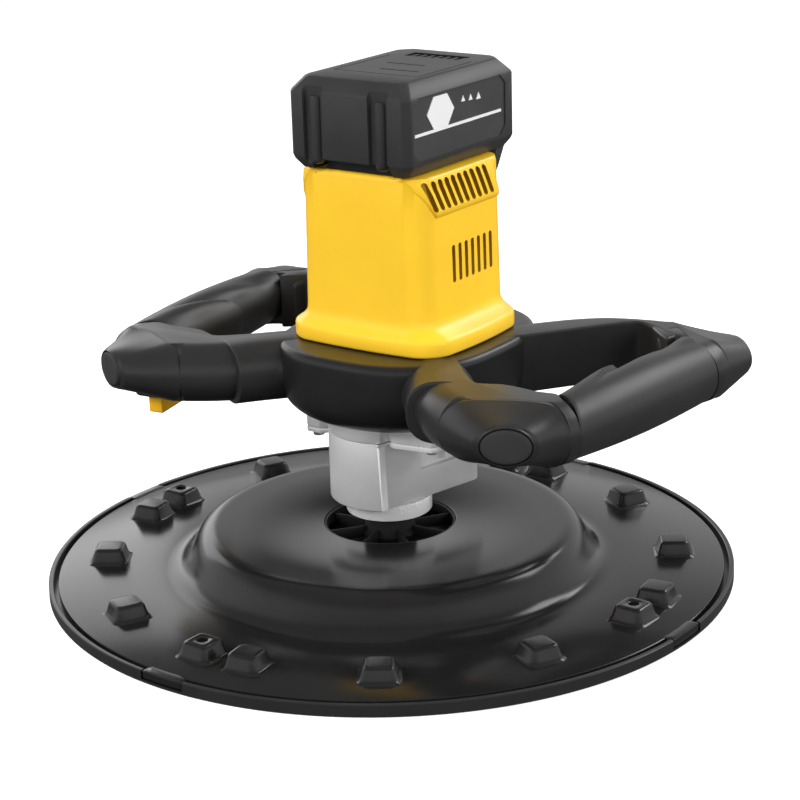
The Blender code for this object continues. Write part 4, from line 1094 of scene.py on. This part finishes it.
def make_spring():
    """The trigger's return spring."""
    low = 0.0997
    high = 0.1111
    radius = 0.003
    wire = 0.0004
    along = -0.042
    per_turn = 24
    steps = 5 * per_turn
    rings = []
    for k in range(steps + 1):
        turn = 2 * pi * k / per_turn
        level = low + (high - low) * k / steps
        wall = circle((radius, level), wire, 8)
        rings.append([(out * cos(turn), along + out * sin(turn), up) for out, up in wall])
    spring = loft("spring", rings, STEEL, angle=60)
    settle(move(spring, left_grip_place()), "housing", "steel", "trigger_spring")
    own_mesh(spring)


# Camera, light and floor ----------------------------------------------------------------


TENT = ((0.0, 0.1), (0.47, 0.14), (0.51, 0.8), (0.66, 0.75), (0.82, 0.2), (1.0, 0.25))
FLOOR_GLOW = 0.6


def make_camera():
    azimuth = 0.6176
    elevation = 0.3181
    roll = 0.0296
    right = Vector((cos(azimuth), sin(azimuth), 0))
    level = cos(elevation)
    ahead = Vector((-sin(azimuth) * level, cos(azimuth) * level, -sin(elevation)))
    up = right.cross(ahead)
    aim = right * 0.00792 + Vector((0, 0, 0.10296))
    place = aim - ahead * 1.273
    across = right * cos(roll) - up * sin(roll)
    over = right * sin(roll) + up * cos(roll)
    data = bpy.data.cameras.new("camera")
    data.sensor_width = 36
    data.lens = 99.49
    camera = bpy.data.objects.new("camera", data)
    camera.matrix_world = Matrix.Translation(place) @ Matrix((across, over, -ahead)).transposed().to_4x4()
    show(camera)
    bpy.context.scene.camera = camera


def area_light(name, place, target, size, power):
    data = bpy.data.lights.new(name, "AREA")
    data.shape = "RECTANGLE"
    data.size = size[0]
    data.size_y = size[1]
    data.energy = power
    lamp = bpy.data.objects.new(name, data)
    lamp.location = place
    lamp.rotation_euler = (Vector(target) - Vector(place)).to_track_quat("-Z", "Y").to_euler()
    show(lamp)
    return lamp


def make_world():
    """Light all round that is brightest just over the horizon, behind a plain white backdrop."""
    world = bpy.data.worlds.new("studio")
    bpy.context.scene.world = world
    world.use_nodes = True
    tree = world.node_tree
    place = tree.nodes.new("ShaderNodeTexCoord")
    split = tree.nodes.new("ShaderNodeSeparateXYZ")
    height = node(tree, "ShaderNodeMapRange", From_Min=-1.0)
    tent = tree.nodes.new("ShaderNodeValToRGB")
    while len(tent.color_ramp.elements) < len(TENT):
        tent.color_ramp.elements.new(0.5)
    for stop, (place_on_ramp, glow) in zip(tent.color_ramp.elements, TENT):
        stop.position = place_on_ramp
        stop.color = (glow, glow, glow, 1)
    sight = tree.nodes.new("ShaderNodeLightPath")
    mix = node(tree, "ShaderNodeMix", B=1.02)
    link(tree, place, "Generated", split, "Vector")
    link(tree, split, "Z", height, "Value")
    link(tree, height, "Result", tent, "Fac")
    link(tree, tent, "Color", mix, "A")
    link(tree, sight, "Is Camera Ray", mix, "Factor")
    background = tree.nodes["Background"]
    link(tree, mix, "Result", background, "Strength")
    background.inputs["Color"].default_value = (1, 1, 1, 1)


def make_studio():
    bpy.context.scene.view_settings.view_transform = "Standard"
    make_world()
    white = material("floor_white", (0.9, 0.9, 0.9), 0.8, tone=0.01)
    shader = white.node_tree.nodes["Principled BSDF"]
    shader.inputs["Emission Color"].default_value = (1, 1, 1, 1)
    shader.inputs["Emission Strength"].default_value = FLOOR_GLOW
    floor = box("floor", (-6, -6, -0.02), (6, 6, -0.0002), white)
    floor.visible_diffuse = False
    floor.visible_glossy = False
    key = area_light("key", (-0.75, -1.45, 1.15), (0, 0, 0.15), (0.8, 0.9), 30)
    key.visible_glossy = False
    side = area_light("side", (1.7, -0.2, 0.75), (0, 0, 0.15), (0.6, 1.0), 21)
    side.visible_glossy = False
    area_light("back", (-1.75, 0.75, 0.75), (0, 0, 0.1), (1.4, 1.0), 6)
    area_light("over", (0.75, 1.25, 1.25), (0, 0, 0.1), (1.3, 0.6), 13)


def dress_frame():
    """Gives each CAD piece that stays in view its surface."""
    surfaces = {
        "controller_board": BOARD,
        "battery_board": BOARD,
        "motor_stator": COPPER,
        "motor_can": BLACK,
        "motor_fan": BLACK,
        "battery_shoe": BLACK,
        "battery_terminals": BRASS,
        "trigger_switch": BLACK,
        "spindle_seal": GRIP,
    }
    for name, piece in NODES.items():
        surface = surfaces.get(name, WRAP if name.startswith("cell_") else STEEL)
        for place in piece.material_slots:
            place.material = surface


make_camera()
make_studio()
dress_frame()
make_plate()
make_pan()
make_hub()
make_spindle()
make_casting()
make_body()
make_hood()
make_battery()
make_button()
make_guard()
make_trigger()
make_spring()
for label, which in (("left", -1), ("right", 1)):
    make_handle(label, which)
    make_sleeve(label, which)
